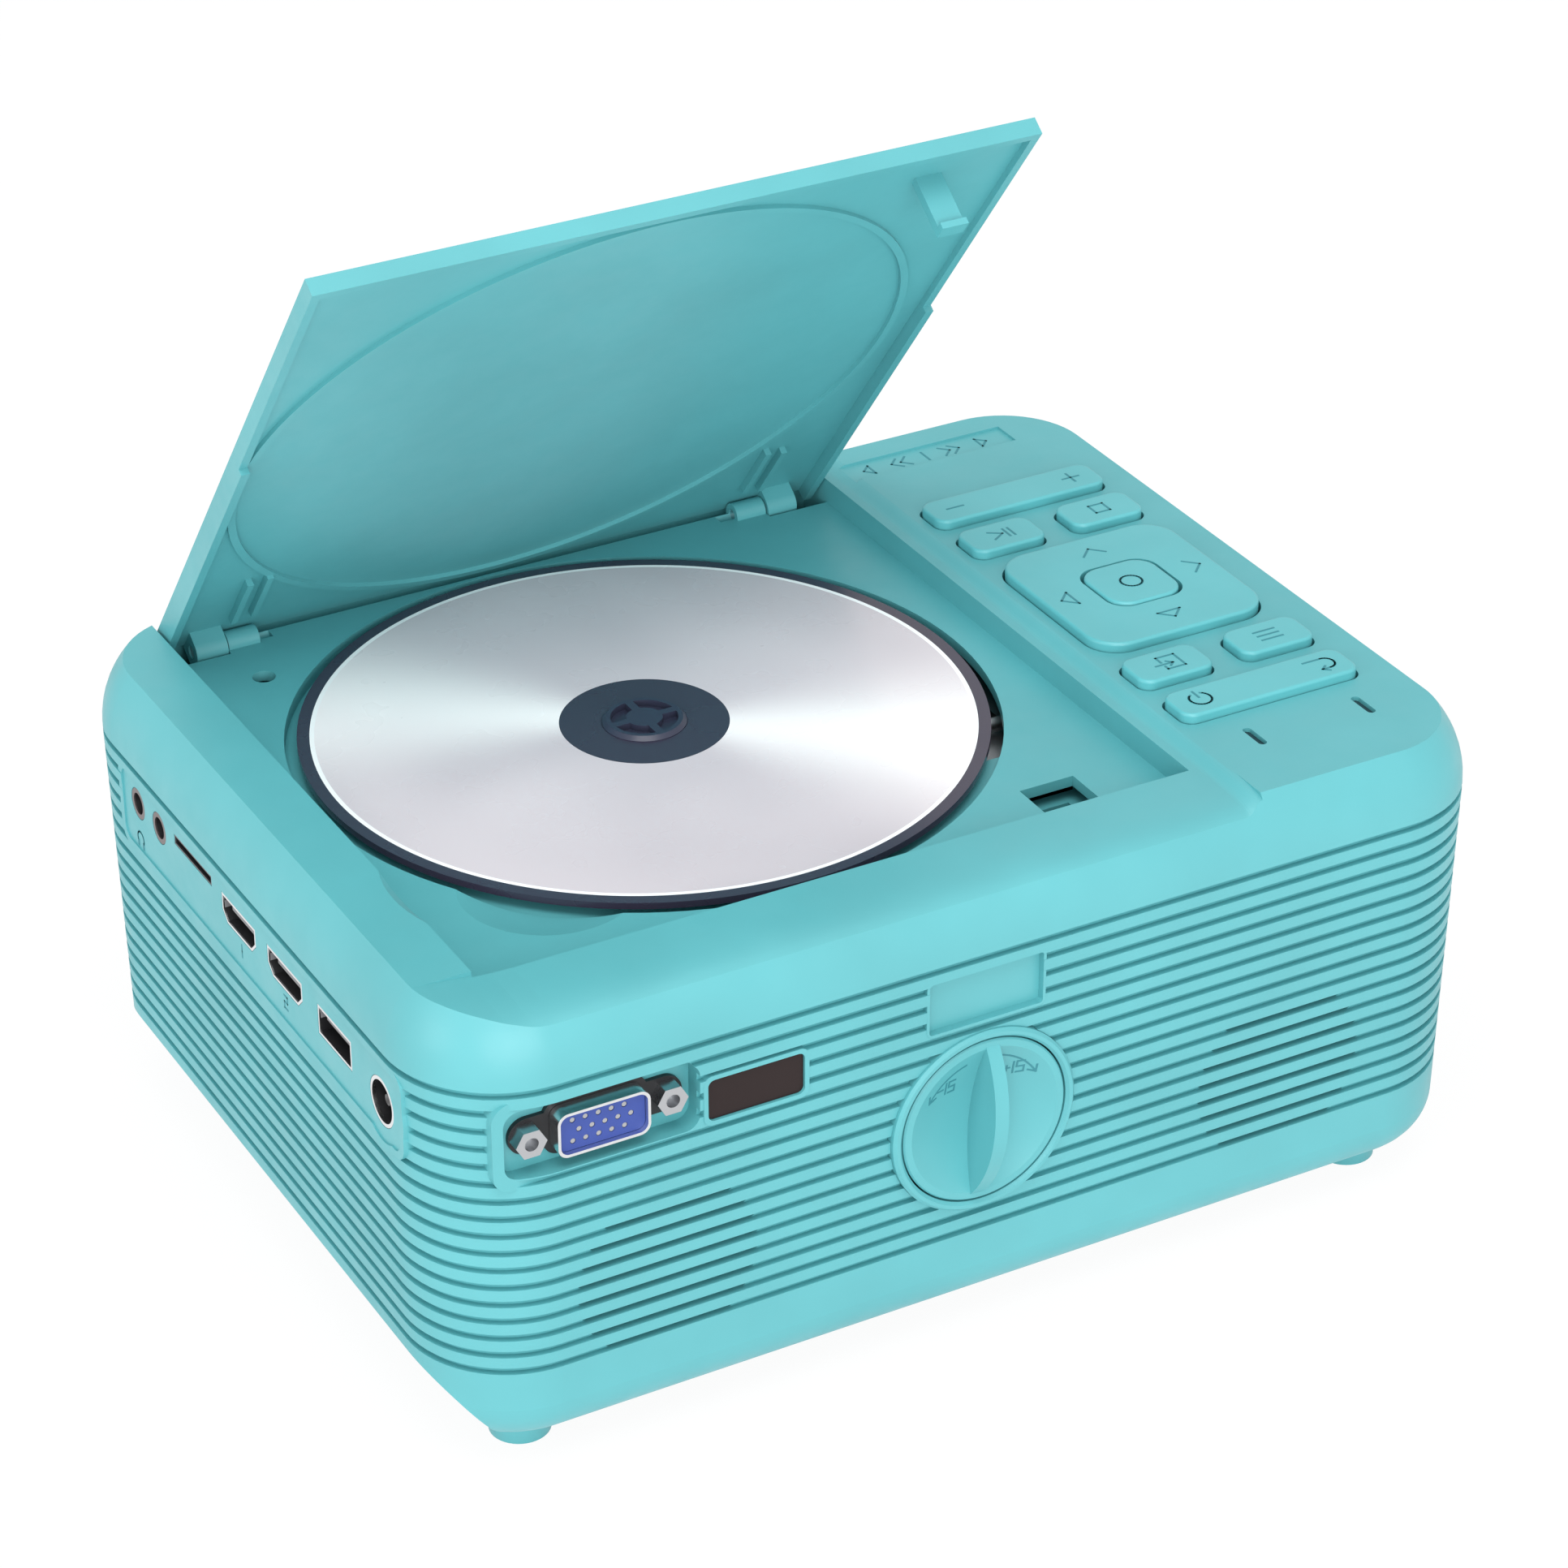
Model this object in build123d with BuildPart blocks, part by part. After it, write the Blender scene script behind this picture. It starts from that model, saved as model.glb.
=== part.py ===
"""Video projector with a disc player under a lift-up lid on its top face.

Millimetres, +Z up. The front face, with the keystone knob, looks along -Y and
the socket face looks along -X. The feet stand on Z = 0 and the origin lies on
that surface under the middle of the housing. The lid stands open.
"""
import math
import os

from build123d import *

os.makedirs("parts", exist_ok=True)

# ---- housing ----
body_width = 202.3
body_depth = 154.1
plan_radius = 20.2
shell_wall = 3.0
shell_floor = 3.0
foot_height = 4.5
bottom_round = 9.0
draft_inset = 1.6
left_roll_start = 13.5
left_roll_run = 11.0
groove_count = 17
groove_pitch = 3.385
groove_height = 1.3
groove_depth = 1.2
groove_low_z = 21.4
parting_gap = 0.15
shoulder_radius = 19.1
shoulder_rise = 12.2
shoulder_lead = 0.7
panel_skin = 2.4
fit_gap = 0.35

front_y = -body_depth / 2
back_y = body_depth / 2
left_x = -body_width / 2
right_x = body_width / 2
bottom_z = foot_height
groove_top_z = groove_low_z + (groove_count - 1) * groove_pitch
parting_z = groove_top_z
shoulder_z = parting_z + shoulder_lead
rim_z = shoulder_z + shoulder_rise
draft_angle = math.degrees(math.atan(draft_inset / (parting_z - bottom_z)))

# ---- disc well and lid ----
disc_diameter = 120.0
disc_thickness = 1.2
disc_hole = 15.0
disc_x = -21.7
disc_y = 7.3
well_left_x = -86.4
well_right_x = 47.1
well_front_y = -59.0
ledge_width = 1.6
ledge_drop = 1.2
well_depth = 4.7
deck_skin = 2.0
disc_above_floor = 0.5
tray_gap = 2.2
tray_depth = 2.7
crest_z = rim_z - ledge_drop
well_floor_z = crest_z - well_depth
disc_top_z = well_floor_z + disc_above_floor
disc_seat_z = disc_top_z - disc_thickness
tray_radius = disc_diameter / 2 + tray_gap
tray_floor_z = well_floor_z - tray_depth
hinge_y = 68.9
hinge_z = well_floor_z + 0.15
lid_gap = 0.5
lid_open_angle = 52.0
lid_skin = 2.0
lid_back_overhang = 2.1
lid_skirt_front = 2.6
lid_skirt_back = 4.4
lid_skirt_wall = 1.6
lid_skirt_step_y = -1.0
lid_ring_radius = 62.0
lid_ring_height = 0.8
lid_ring_width = 1.4
hinge_pin_diameter = 2.4
hinge_knuckle_radius = 2.8
hinge_knuckle_length = 6.0
hinge_pin_fit = 0.05
trench_front_y = hinge_y + 1.3
trench_back_y = hinge_y + 5.4
lid_left_x = well_left_x + 0.65
lid_right_x = well_right_x - 0.65
lid_front_y = well_front_y + lid_gap

# ---- planes on the faces of the housing ----
front_face = Plane(origin=(0, front_y, 0), x_dir=(1, 0, 0), z_dir=(0, -1, 0))
back_face = Plane(origin=(0, back_y, 0), x_dir=(-1, 0, 0), z_dir=(0, 1, 0))
left_face = Plane(origin=(left_x, 0, 0), x_dir=(0, -1, 0), z_dir=(-1, 0, 0))
right_face = Plane(origin=(right_x, 0, 0), x_dir=(0, 1, 0), z_dir=(1, 0, 0))
lid_sin = math.sin(math.radians(lid_open_angle))
lid_cos = math.cos(math.radians(lid_open_angle))
lid_plane = Plane(origin=(0, hinge_y, hinge_z), x_dir=(1, 0, 0), z_dir=(0, lid_sin, lid_cos))


def groove_z(index):
    """Height of a groove, counted from the lowest."""
    return groove_low_z + index * groove_pitch


def draft_at(height):
    """How far the drafted wall lies inside the plan at a height."""
    return draft_inset * (parting_z - height) / (parting_z - bottom_z)


# ---- sockets on the left face ----
port_panel_front = -60.5
port_panel_back = 53.4
port_panel_low = 59.4
port_panel_high = 73.4
port_panel_corner = 2.2
port_bulge_radius = 7.2
panel_recess = 0.5
label_recess = 1.6
jack_bore = 6.0
jack_y = [47.0, 37.5]
jack_z = 68.6
card_y = 22.4
card_z = 70.2
card_width = 16.2
card_height = 2.0
video_y = [3.1, -15.9]
video_z = 67.9
video_width = 14.2
video_height = 5.4
video_chamfer = 1.9
usb_y = -35.7
usb_z = 67.5
usb_width = 13.2
usb_height = 5.8
power_y = -53.6
power_z = 65.6
power_bore = 9.0

# ---- front face ----
vga_x = -72.8
vga_z = 65.8
vga_recess_width = 34.0
vga_recess_height = 12.6
vga_recess_depth = 4.2
vga_shell_width = 16.6
vga_shell_height = 8.4
jackscrew_pitch = 25.0
ir_x = -45.55
ir_z = 64.0
ir_width = 17.6
ir_height = 7.8
label_x = -2.8
label_z = 68.3
label_width = 21.6
label_height = 9.8
knob_x = -2.9
knob_z = 43.75
knob_radius = 15.5
knob_ring_radius = 17.5
knob_depth = 7.3
knob_ring_proud = 0.5
knob_lift = 0.2
knob_rim = 1.5
blade_proud = 5.3
speaker_x = [-61.0, 57.5]
speaker_z = 33.2
speaker_radius = 16.6
speaker_slots = 8

# ---- projection lens and fan ----
lens_x = 56.0
lens_z = 43.0
lens_radius = 19.0
lens_port_radius = 27.0
lens_dish_depth = 7.0
fan_y = -6.0
fan_z = 41.0
fan_radius = 24.0
fan_slots = 12

def video_outline(centre_y, inset):
    """Corners of a video socket on the left face, with its two lower corners cut."""
    half = video_width / 2 - inset
    rise = video_height / 2 - inset
    cut = video_chamfer - inset / 2
    return [
        (-centre_y - half, video_z + rise),
        (-centre_y + half, video_z + rise),
        (-centre_y + half, video_z - rise + cut),
        (-centre_y + half - cut, video_z - rise),
        (-centre_y - half + cut, video_z - rise),
        (-centre_y - half, video_z - rise + cut),
    ]


# ---- keypad ----
key_centre_x = 71.85
key_span = 36.0
key_rise = 1.7
key_flange = 1.0
key_flange_width = 0.9
key_body = 3.6
key_corner = 2.6
key_width = 15.0
rocker_depth = 8.8
key_depth = 9.2
volume_y = 38.9
play_y = 25.7
pad_y = -1.8
pad_width = 35.4
pad_depth = 38.0
pad_corner = 6.5
pad_hole = 15.6
ok_width = 14.6
ok_corner = 4.2
menu_y = -29.9
power_key_y = -43.5
key_left_x = key_centre_x - key_span / 2 + key_width / 2
key_right_x = key_centre_x + key_span / 2 - key_width / 2
led_y = -56.4
led_x = [62.0, 84.3]
led_length = 6.2
led_width = 1.6
marks_x = 67.5
marks_y = 63.6
marks_width = 36.0
marks_depth = 6.6
key_top_z = rim_z + key_rise
key_flange_z = rim_z - panel_skin - key_flange - fit_gap

# ================= housing =================
roll_nx = left_roll_start / math.hypot(left_roll_start, left_roll_run)
roll_nz = left_roll_run / math.hypot(left_roll_start, left_roll_run)
roll_plane = Plane(
    origin=(left_x + draft_inset, 0, bottom_z + left_roll_start),
    x_dir=(0, 1, 0),
    z_dir=(roll_nx, 0, roll_nz),
)

with BuildPart() as shell_outer:
    with BuildSketch(Plane.XY.offset(parting_z)):
        RectangleRounded(body_width, body_depth, plan_radius)
    extrude(amount=-(parting_z - bottom_z), taper=draft_angle)
    split(bisect_by=roll_plane, keep=Keep.TOP)
    fillet(shell_outer.edges().group_by(Axis.Z)[0], bottom_round)

with BuildPart() as shell_core:
    with BuildSketch(Plane.XY.offset(parting_z + 1)):
        RectangleRounded(
            body_width - 2 * shell_wall, body_depth - 2 * shell_wall, plan_radius - shell_wall
        )
    extrude(amount=-(parting_z + 1 - bottom_z - shell_floor), taper=draft_angle)
    split(bisect_by=roll_plane.offset(shell_wall), keep=Keep.TOP)
    fillet(shell_core.edges().group_by(Axis.Z)[0], bottom_round - shell_wall)


foot_radius = 5.8
screw_x = 82.5
screw_y = 61.8
screw_diameter = 3.0
screw_head_diameter = 5.6
screw_head_height = 2.4
screw_length = 22.0
boss_radius = 4.4
boss_top_z = bottom_z + 12.0
post_radius = 4.0
screw_fit = 0.05

# ================= top cover and deck =================
well_mid_x = (well_left_x + well_right_x) / 2
well_mid_y = (well_front_y + trench_back_y) / 2
knuckle_x = [well_left_x + 9.0, well_right_x - 9.0]
lug_x = [knuckle_x[0] + hinge_knuckle_length + fit_gap, knuckle_x[1] - hinge_knuckle_length - fit_gap]
latch_x = 28.2
latch_y = -50.2
latch_width = 10.6
latch_length = 12.0
hook_y = latch_y + 1.0
scoop_x = -60.5
scoop_y = -33.0
scoop_radius = 15.0
catch_thickness = 1.6
catch_width = latch_width + 5.0
catch_top_z = tray_floor_z - deck_skin - 0.1
drain_x = -72.6
drain_y = 54.7
drain_diameter = 4.2
window_half = 36.0
window_left_x = disc_x - 25.0
cavity_inset = 6.4
shoulder_top_z = shoulder_z + shoulder_radius


flank_width = 3.6
flank_steps = 8
flank_over = 0.05
flank_low_x = well_right_x + ledge_width
roll_rise = 11.0
roll_reach = 16.5
roll_back_y = well_front_y + 0.5
roll_top_z = rim_z + 4
roll_out_y = front_y - 8

roll_stops = [
    (well_left_x - 12.0, 0.0),
    (well_left_x - 8.0, 0.1),
    (well_left_x - 4.5, 0.35),
    (well_left_x - 1.0, 0.65),
    (well_left_x + 3.0, 0.9),
    (well_left_x + 7.0, 1.0),
]
for index in range(flank_steps + 1):
    part_way = index / flank_steps
    share = 1 - part_way * part_way * (3 - 2 * part_way)
    roll_stops.append((flank_low_x + flank_width * part_way, share))
with BuildPart() as roll_cutter:
    for side_x, share in roll_stops:
        lip = 0.8 * (1 - share)
        top = crest_z + (rim_z + flank_over - crest_z) * (1 - share)
        rise = roll_rise + 1.5 * (1 - share)
        reach = roll_reach + 1.0 * (1 - share)
        with BuildSketch(Plane.YZ.offset(side_x)):
            with BuildLine():
                Bezier(
                    (front_y - lip, shoulder_z - lip),
                    (front_y - lip, shoulder_z - lip + rise),
                    (well_front_y - reach, top),
                    (well_front_y, top),
                )
                Polyline(
                    (well_front_y, top),
                    (roll_back_y, top),
                    (roll_back_y, roll_top_z),
                    (roll_out_y, roll_top_z),
                    (roll_out_y, shoulder_z - lip),
                    (front_y - lip, shoulder_z - lip),
                )
            make_face()
    loft(ruled=True)

with BuildPart() as top_cover:
    with BuildSketch(Plane.XY.offset(parting_z + parting_gap)):
        RectangleRounded(body_width, body_depth, plan_radius)
    extrude(amount=shoulder_top_z - parting_z - parting_gap)
    fillet(top_cover.faces().sort_by(Axis.Z)[-1].edges(), shoulder_radius)
    split(bisect_by=Plane.XY.offset(rim_z), keep=Keep.BOTTOM)
    add(roll_cutter.part, mode=Mode.SUBTRACT)
    with BuildSketch(Plane.XY.offset(crest_z)):
        with Locations((well_mid_x + ledge_width / 2, well_mid_y)):
            Rectangle(well_right_x - well_left_x + ledge_width, trench_back_y - well_front_y)
    extrude(amount=rim_z + 1 - crest_z, mode=Mode.SUBTRACT)
    # sloped left flank of the keypad panel
    flank_line = [(flank_low_x, roll_top_z)]
    for side_x, share in roll_stops[-flank_steps - 1:]:
        flank_line.append((side_x, crest_z + (rim_z + flank_over - crest_z) * (1 - share)))
    flank_line.append((flank_low_x + flank_width, roll_top_z))
    with BuildSketch(Plane(origin=(0, well_front_y, 0), x_dir=(1, 0, 0), z_dir=(0, -1, 0))):
        with BuildLine():
            Polyline(*flank_line, close=True)
        make_face()
    extrude(amount=well_front_y - back_y - 2, mode=Mode.SUBTRACT)
    with BuildSketch(Plane.XY.offset(well_floor_z)):
        with Locations((well_mid_x, well_mid_y)):
            Rectangle(well_right_x - well_left_x, trench_back_y - well_front_y)
    extrude(amount=rim_z + 1 - well_floor_z, mode=Mode.SUBTRACT)
    rear_edge_y = (trench_back_y + back_y + 2) / 2
    with BuildSketch(Plane.XY.offset(well_floor_z + 1.0)):
        with Locations((well_mid_x, rear_edge_y)):
            Rectangle(well_right_x - well_left_x, back_y + 2.2 - trench_back_y)
    extrude(amount=8, mode=Mode.SUBTRACT)

    with BuildSketch(Plane.XY.offset(tray_floor_z)):
        with Locations((disc_x, disc_y)):
            Circle(tray_radius)
    extrude(amount=tray_depth + 1, mode=Mode.SUBTRACT)
    with BuildSketch(Plane.XY.offset(parting_z)):
        RectangleRounded(
            body_width - 2 * shell_wall, body_depth - 2 * shell_wall, plan_radius - shell_wall
        )
    extrude(amount=tray_floor_z - deck_skin - parting_z, mode=Mode.SUBTRACT)
    with BuildSketch(Plane.XY.offset(tray_floor_z - deck_skin)):
        with Locations((well_mid_x, (well_front_y + trench_front_y) / 2)):
            Rectangle(
                well_right_x - well_left_x - 2 * deck_skin,
                trench_front_y - well_front_y - 4 * deck_skin,
            )
        with Locations((disc_x, disc_y)):
            Circle(tray_radius + deck_skin, mode=Mode.SUBTRACT)
        with Locations((scoop_x, scoop_y)):
            Circle(scoop_radius + deck_skin, mode=Mode.SUBTRACT)
    extrude(amount=well_floor_z - tray_floor_z, mode=Mode.SUBTRACT)
    panel_left_x = well_right_x + deck_skin
    panel_right_x = right_x - cavity_inset
    with BuildSketch(Plane.XY.offset(tray_floor_z - deck_skin)):
        with Locations(((panel_left_x + panel_right_x) / 2, 0)):
            Rectangle(panel_right_x - panel_left_x, body_depth - 2 * cavity_inset - 8)
    extrude(amount=rim_z - panel_skin - tray_floor_z + deck_skin, mode=Mode.SUBTRACT)
    rail_right_x = well_left_x - deck_skin
    rail_left_x = left_x + cavity_inset
    with BuildSketch(Plane.XY.offset(tray_floor_z - deck_skin)):
        with Locations(((rail_left_x + rail_right_x) / 2, 0)):
            Rectangle(rail_right_x - rail_left_x, body_depth - 2 * plan_radius)
    extrude(amount=rim_z - panel_skin - tray_floor_z, mode=Mode.SUBTRACT)
    with BuildSketch(Plane.XY.offset(tray_floor_z - deck_skin - 1)):
        with Locations(((window_left_x + disc_x + tray_radius) / 2 + 1.5, disc_y)):
            Rectangle(disc_x + tray_radius - window_left_x + 3, 2 * window_half)
    extrude(amount=1 + well_floor_z - tray_floor_z, mode=Mode.SUBTRACT)
    scoop_depth = 2.3
    scoop_ball = (scoop_radius**2 + scoop_depth**2) / (2 * scoop_depth)
    with Locations((scoop_x, scoop_y, well_floor_z - scoop_depth + scoop_ball)):
        Sphere(scoop_ball, mode=Mode.SUBTRACT)
    with Locations((drain_x, drain_y, well_floor_z)):
        Hole(drain_diameter / 2, depth=2 * deck_skin)
    with BuildSketch(Plane.XY.offset(tray_floor_z - deck_skin - 1)):
        with Locations((latch_x, latch_y)):
            Rectangle(latch_width, latch_length)
    extrude(amount=well_floor_z - tray_floor_z + deck_skin + 2, mode=Mode.SUBTRACT)
    with BuildSketch(Plane.XY.offset(tray_floor_z)):
        with Locations((well_mid_x, (trench_front_y + trench_back_y) / 2)):
            Rectangle(well_right_x - well_left_x, trench_back_y - trench_front_y)
    extrude(amount=tray_depth + 1, mode=Mode.SUBTRACT)
    pocket_front_y = hinge_y - hinge_knuckle_radius - 0.8
    pocket_left_end = knuckle_x[0] + hinge_knuckle_length / 2 + fit_gap / 2
    pocket_right_end = knuckle_x[1] - hinge_knuckle_length / 2 - fit_gap / 2
    with BuildSketch(Plane.XY.offset(tray_floor_z - deck_skin - 1)):
        with Locations(((well_left_x + pocket_left_end) / 2, (pocket_front_y + trench_back_y) / 2)):
            Rectangle(pocket_left_end - well_left_x, trench_back_y - pocket_front_y)
        with Locations(((well_right_x + pocket_right_end) / 2, (pocket_front_y + trench_back_y) / 2)):
            Rectangle(well_right_x - pocket_right_end, trench_back_y - pocket_front_y)
    extrude(amount=well_floor_z - tray_floor_z + deck_skin + 2, mode=Mode.SUBTRACT)
    lug_radius = lid_skin + 0.3
    for side in range(2):
        with BuildSketch(Plane.YZ.offset(lug_x[side])):
            with Locations((hinge_y, hinge_z)):
                Circle(lug_radius)
            with Locations((hinge_y, (hinge_z + tray_floor_z - deck_skin) / 2)):
                Rectangle(2 * lug_radius, hinge_z - tray_floor_z + deck_skin)
        extrude(amount=hinge_knuckle_length / 2, both=True)
        with BuildSketch(Plane.YZ.offset(lug_x[side])):
            with Locations((hinge_y, hinge_z)):
                Circle(hinge_pin_diameter / 2)
        extrude(amount=hinge_knuckle_length, both=True, mode=Mode.SUBTRACT)
    with BuildSketch(Plane.XY.offset(rim_z - panel_skin - 1)):
        with Locations((key_centre_x, volume_y), (key_centre_x, power_key_y)):
            RectangleRounded(key_span + 2 * fit_gap, rocker_depth + 2 * fit_gap, key_corner)
        with Locations(
            (key_left_x, play_y), (key_right_x, play_y), (key_left_x, menu_y), (key_right_x, menu_y)
        ):
            RectangleRounded(key_width + 2 * fit_gap, key_depth + 2 * fit_gap, key_corner)
        with Locations((key_centre_x, pad_y)):
            RectangleRounded(pad_width + 2 * fit_gap, pad_depth + 2 * fit_gap, pad_corner)
        with Locations((led_x[0], led_y), (led_x[1], led_y)):
            SlotOverall(led_length, led_width, rotation=90)
    extrude(amount=panel_skin + 2, mode=Mode.SUBTRACT)
    with BuildSketch(Plane.XY.offset(rim_z - 0.5)):
        with Locations((marks_x, marks_y)):
            Rectangle(marks_width, marks_depth)
    extrude(amount=1, mode=Mode.SUBTRACT)
    with BuildSketch(Plane.XY.offset(groove_top_z - groove_height)):
        Rectangle(body_width + 9, body_depth + 9)
        RectangleRounded(
            body_width - 2 * groove_depth,
            body_depth - 2 * groove_depth,
            plan_radius - groove_depth,
            mode=Mode.SUBTRACT,
        )
    extrude(amount=groove_height * 1.5, mode=Mode.SUBTRACT)
    post_top_z = tray_floor_z - 0.4
    with BuildSketch(Plane.XY.offset(post_top_z)):
        with Locations(
            (screw_x, screw_y), (-screw_x, screw_y), (screw_x, -screw_y), (-screw_x, -screw_y)
        ):
            Circle(post_radius)
    extrude(amount=-(post_top_z - boss_top_z - 0.3))
    web_y = (screw_y + back_y - shell_wall) / 2
    with BuildSketch(Plane.XY.offset(post_top_z)):
        with Locations((screw_x, web_y), (-screw_x, web_y), (screw_x, -web_y), (-screw_x, -web_y)):
            Rectangle(4.0, back_y - shell_wall - screw_y)
    extrude(amount=-(post_top_z - parting_z - 0.6))
    with Locations(
        (screw_x, screw_y, boss_top_z),
        (-screw_x, screw_y, boss_top_z),
        (screw_x, -screw_y, boss_top_z),
        (-screw_x, -screw_y, boss_top_z),
    ):
        Cylinder(screw_diameter / 2, 2 * screw_length, mode=Mode.SUBTRACT)
    # guides of the sliding catch
    guide_x = catch_width / 2 + 0.1 + 0.7
    with BuildSketch(Plane.XY.offset(tray_floor_z - deck_skin)):
        with Locations((latch_x - guide_x, latch_y), (latch_x + guide_x, latch_y)):
            Rectangle(1.4, latch_length + 8)
    extrude(amount=-(catch_thickness + 0.6))
top_cover.part.label = "top_cover"
export_step(top_cover.part, "parts/top_cover.step")

# ================= lower shell =================
with BuildPart() as lower_shell:
    add(shell_outer.part)
    add(shell_core.part, mode=Mode.SUBTRACT)
    for index in range(groove_count):
        low_z = groove_z(index) - groove_height / 2
        cut = draft_at(groove_z(index)) + groove_depth
        with BuildSketch(Plane.XY.offset(low_z)):
            Rectangle(body_width + 9, body_depth + 9)
            RectangleRounded(
                body_width - 2 * cut, body_depth - 2 * cut, plan_radius - cut, mode=Mode.SUBTRACT
            )
        extrude(amount=groove_height, mode=Mode.SUBTRACT)
    # flat fields that interrupt the grooves
    port_mid_y = (port_panel_front + port_panel_back) / 2
    port_mid_z = (port_panel_low + port_panel_high) / 2
    port_length = port_panel_back - port_panel_front
    port_height = port_panel_high - port_panel_low
    with BuildSketch(left_face.offset(-shell_wall)):
        with Locations((-port_mid_y, port_mid_z)):
            RectangleRounded(port_length + 3, port_height + 2.4, port_panel_corner + 1)
        with Locations((-power_y, power_z)):
            Circle(port_bulge_radius + 1.5)
    extrude(amount=shell_wall - draft_at(port_mid_z))
    with BuildSketch(left_face.offset(-panel_recess)):
        with Locations((-port_mid_y, port_mid_z)):
            RectangleRounded(port_length, port_height, port_panel_corner)
        with Locations((-power_y, power_z)):
            Circle(port_bulge_radius)
    extrude(amount=2, mode=Mode.SUBTRACT)
    with BuildSketch(front_face.offset(-shell_wall - vga_recess_depth)):
        with Locations((vga_x, vga_z)):
            RectangleRounded(vga_recess_width + 4, vga_recess_height + 4, 3.5)
    extrude(amount=shell_wall + vga_recess_depth - 1.6)
    with BuildSketch(front_face.offset(-vga_recess_depth)):
        with Locations((vga_x, vga_z)):
            RectangleRounded(vga_recess_width, vga_recess_height, 2.6)
    extrude(amount=9, mode=Mode.SUBTRACT)
    with BuildSketch(front_face.offset(-shell_wall)):
        with Locations((label_x, label_z)):
            RectangleRounded(label_width + 1, label_height + 1, 1.4)
        with Locations((ir_x, ir_z)):
            RectangleRounded(ir_width + 1.6, ir_height + 1.6, 1.6)
    extrude(amount=shell_wall - draft_at(label_z))
    with BuildSketch(front_face.offset(-label_recess)):
        with Locations((label_x, label_z)):
            RectangleRounded(label_width, label_height, 0.6)
    extrude(amount=3, mode=Mode.SUBTRACT)
    # openings
    with BuildSketch(left_face.offset(-shell_wall - 2)):
        with Locations((-jack_y[0], jack_z), (-jack_y[1], jack_z)):
            Circle(jack_bore / 2)
        with Locations((-card_y, card_z)):
            Rectangle(card_width, card_height)
        for place in video_y:
            with BuildLine():
                Polyline(*video_outline(place, 0.0), close=True)
            make_face()
        with Locations((-usb_y, usb_z)):
            Rectangle(usb_width, usb_height)
        with Locations((-power_y, power_z)):
            Circle(power_bore / 2)
    extrude(amount=9, mode=Mode.SUBTRACT)
    with BuildSketch(front_face.offset(-20)):
        with Locations((vga_x, vga_z)):
            RectangleRounded(vga_shell_width, vga_shell_height, 2.0)
        with Locations((vga_x - jackscrew_pitch / 2, vga_z), (vga_x + jackscrew_pitch / 2, vga_z)):
            Circle(1.6)
        with Locations((ir_x, ir_z)):
            RectangleRounded(ir_width, ir_height, 1.2)
        with Locations((knob_x, knob_z)):
            Circle(knob_ring_radius)
    extrude(amount=25, mode=Mode.SUBTRACT)
    for index in range(speaker_slots):
        level = groove_z(index)
        half = math.sqrt(max(speaker_radius**2 - (level - speaker_z) ** 2, 1.0))
        with BuildSketch(front_face.offset(-shell_wall - 4)):
            with Locations((speaker_x[0], level), (speaker_x[1], level)):
                SlotOverall(2 * half, groove_height)
        extrude(amount=9, mode=Mode.SUBTRACT)
    for index in range(fan_slots):
        level = groove_z(index)
        half = math.sqrt(max(fan_radius**2 - (level - fan_z) ** 2, 1.0))
        with BuildSketch(right_face.offset(-shell_wall - 4)):
            with Locations((fan_y, level)):
                SlotOverall(2 * half, groove_height)
        extrude(amount=9, mode=Mode.SUBTRACT)
    with BuildSketch(back_face.offset(-shell_wall - lens_dish_depth)):
        with Locations((-lens_x, lens_z)):
            Circle(lens_port_radius + 2.0)
    extrude(amount=lens_dish_depth + shell_wall - 2.0)
    with BuildSketch(back_face.offset(-lens_dish_depth)):
        with Locations((-lens_x, lens_z)):
            Circle(lens_port_radius)
    extrude(amount=12, mode=Mode.SUBTRACT)
    with BuildSketch(back_face.offset(-shell_wall - lens_dish_depth - 1)):
        with Locations((-lens_x, lens_z)):
            Circle(lens_radius + 3.0)
    extrude(amount=20, mode=Mode.SUBTRACT)
    # feet and screw bosses
    with BuildSketch(Plane.XY.offset(bottom_z + shell_floor)):
        with Locations(
            (screw_x, screw_y), (-screw_x, screw_y), (screw_x, -screw_y), (-screw_x, -screw_y)
        ):
            Circle(foot_radius)
    extrude(amount=-(bottom_z + shell_floor), taper=4)
    with BuildSketch(Plane.XY.offset(bottom_z + shell_floor - 0.5)):
        with Locations(
            (screw_x, screw_y), (-screw_x, screw_y), (screw_x, -screw_y), (-screw_x, -screw_y)
        ):
            Circle(boss_radius)
    extrude(amount=boss_top_z - bottom_z - shell_floor + 0.5)
    with Locations(
        (screw_x, screw_y, 0), (-screw_x, screw_y, 0), (screw_x, -screw_y, 0), (-screw_x, -screw_y, 0)
    ):
        Cylinder(screw_diameter / 2, 3 * boss_top_z, mode=Mode.SUBTRACT)
    with Locations(
        (screw_x, screw_y, 0), (-screw_x, screw_y, 0), (screw_x, -screw_y, 0), (-screw_x, -screw_y, 0)
    ):
        Cylinder(
            screw_head_diameter / 2 + 0.2, 2 * (bottom_z + screw_head_height + 0.4), mode=Mode.SUBTRACT
        )
lower_shell.part.label = "lower_shell"
export_step(lower_shell.part, "parts/lower_shell.step")
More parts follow.
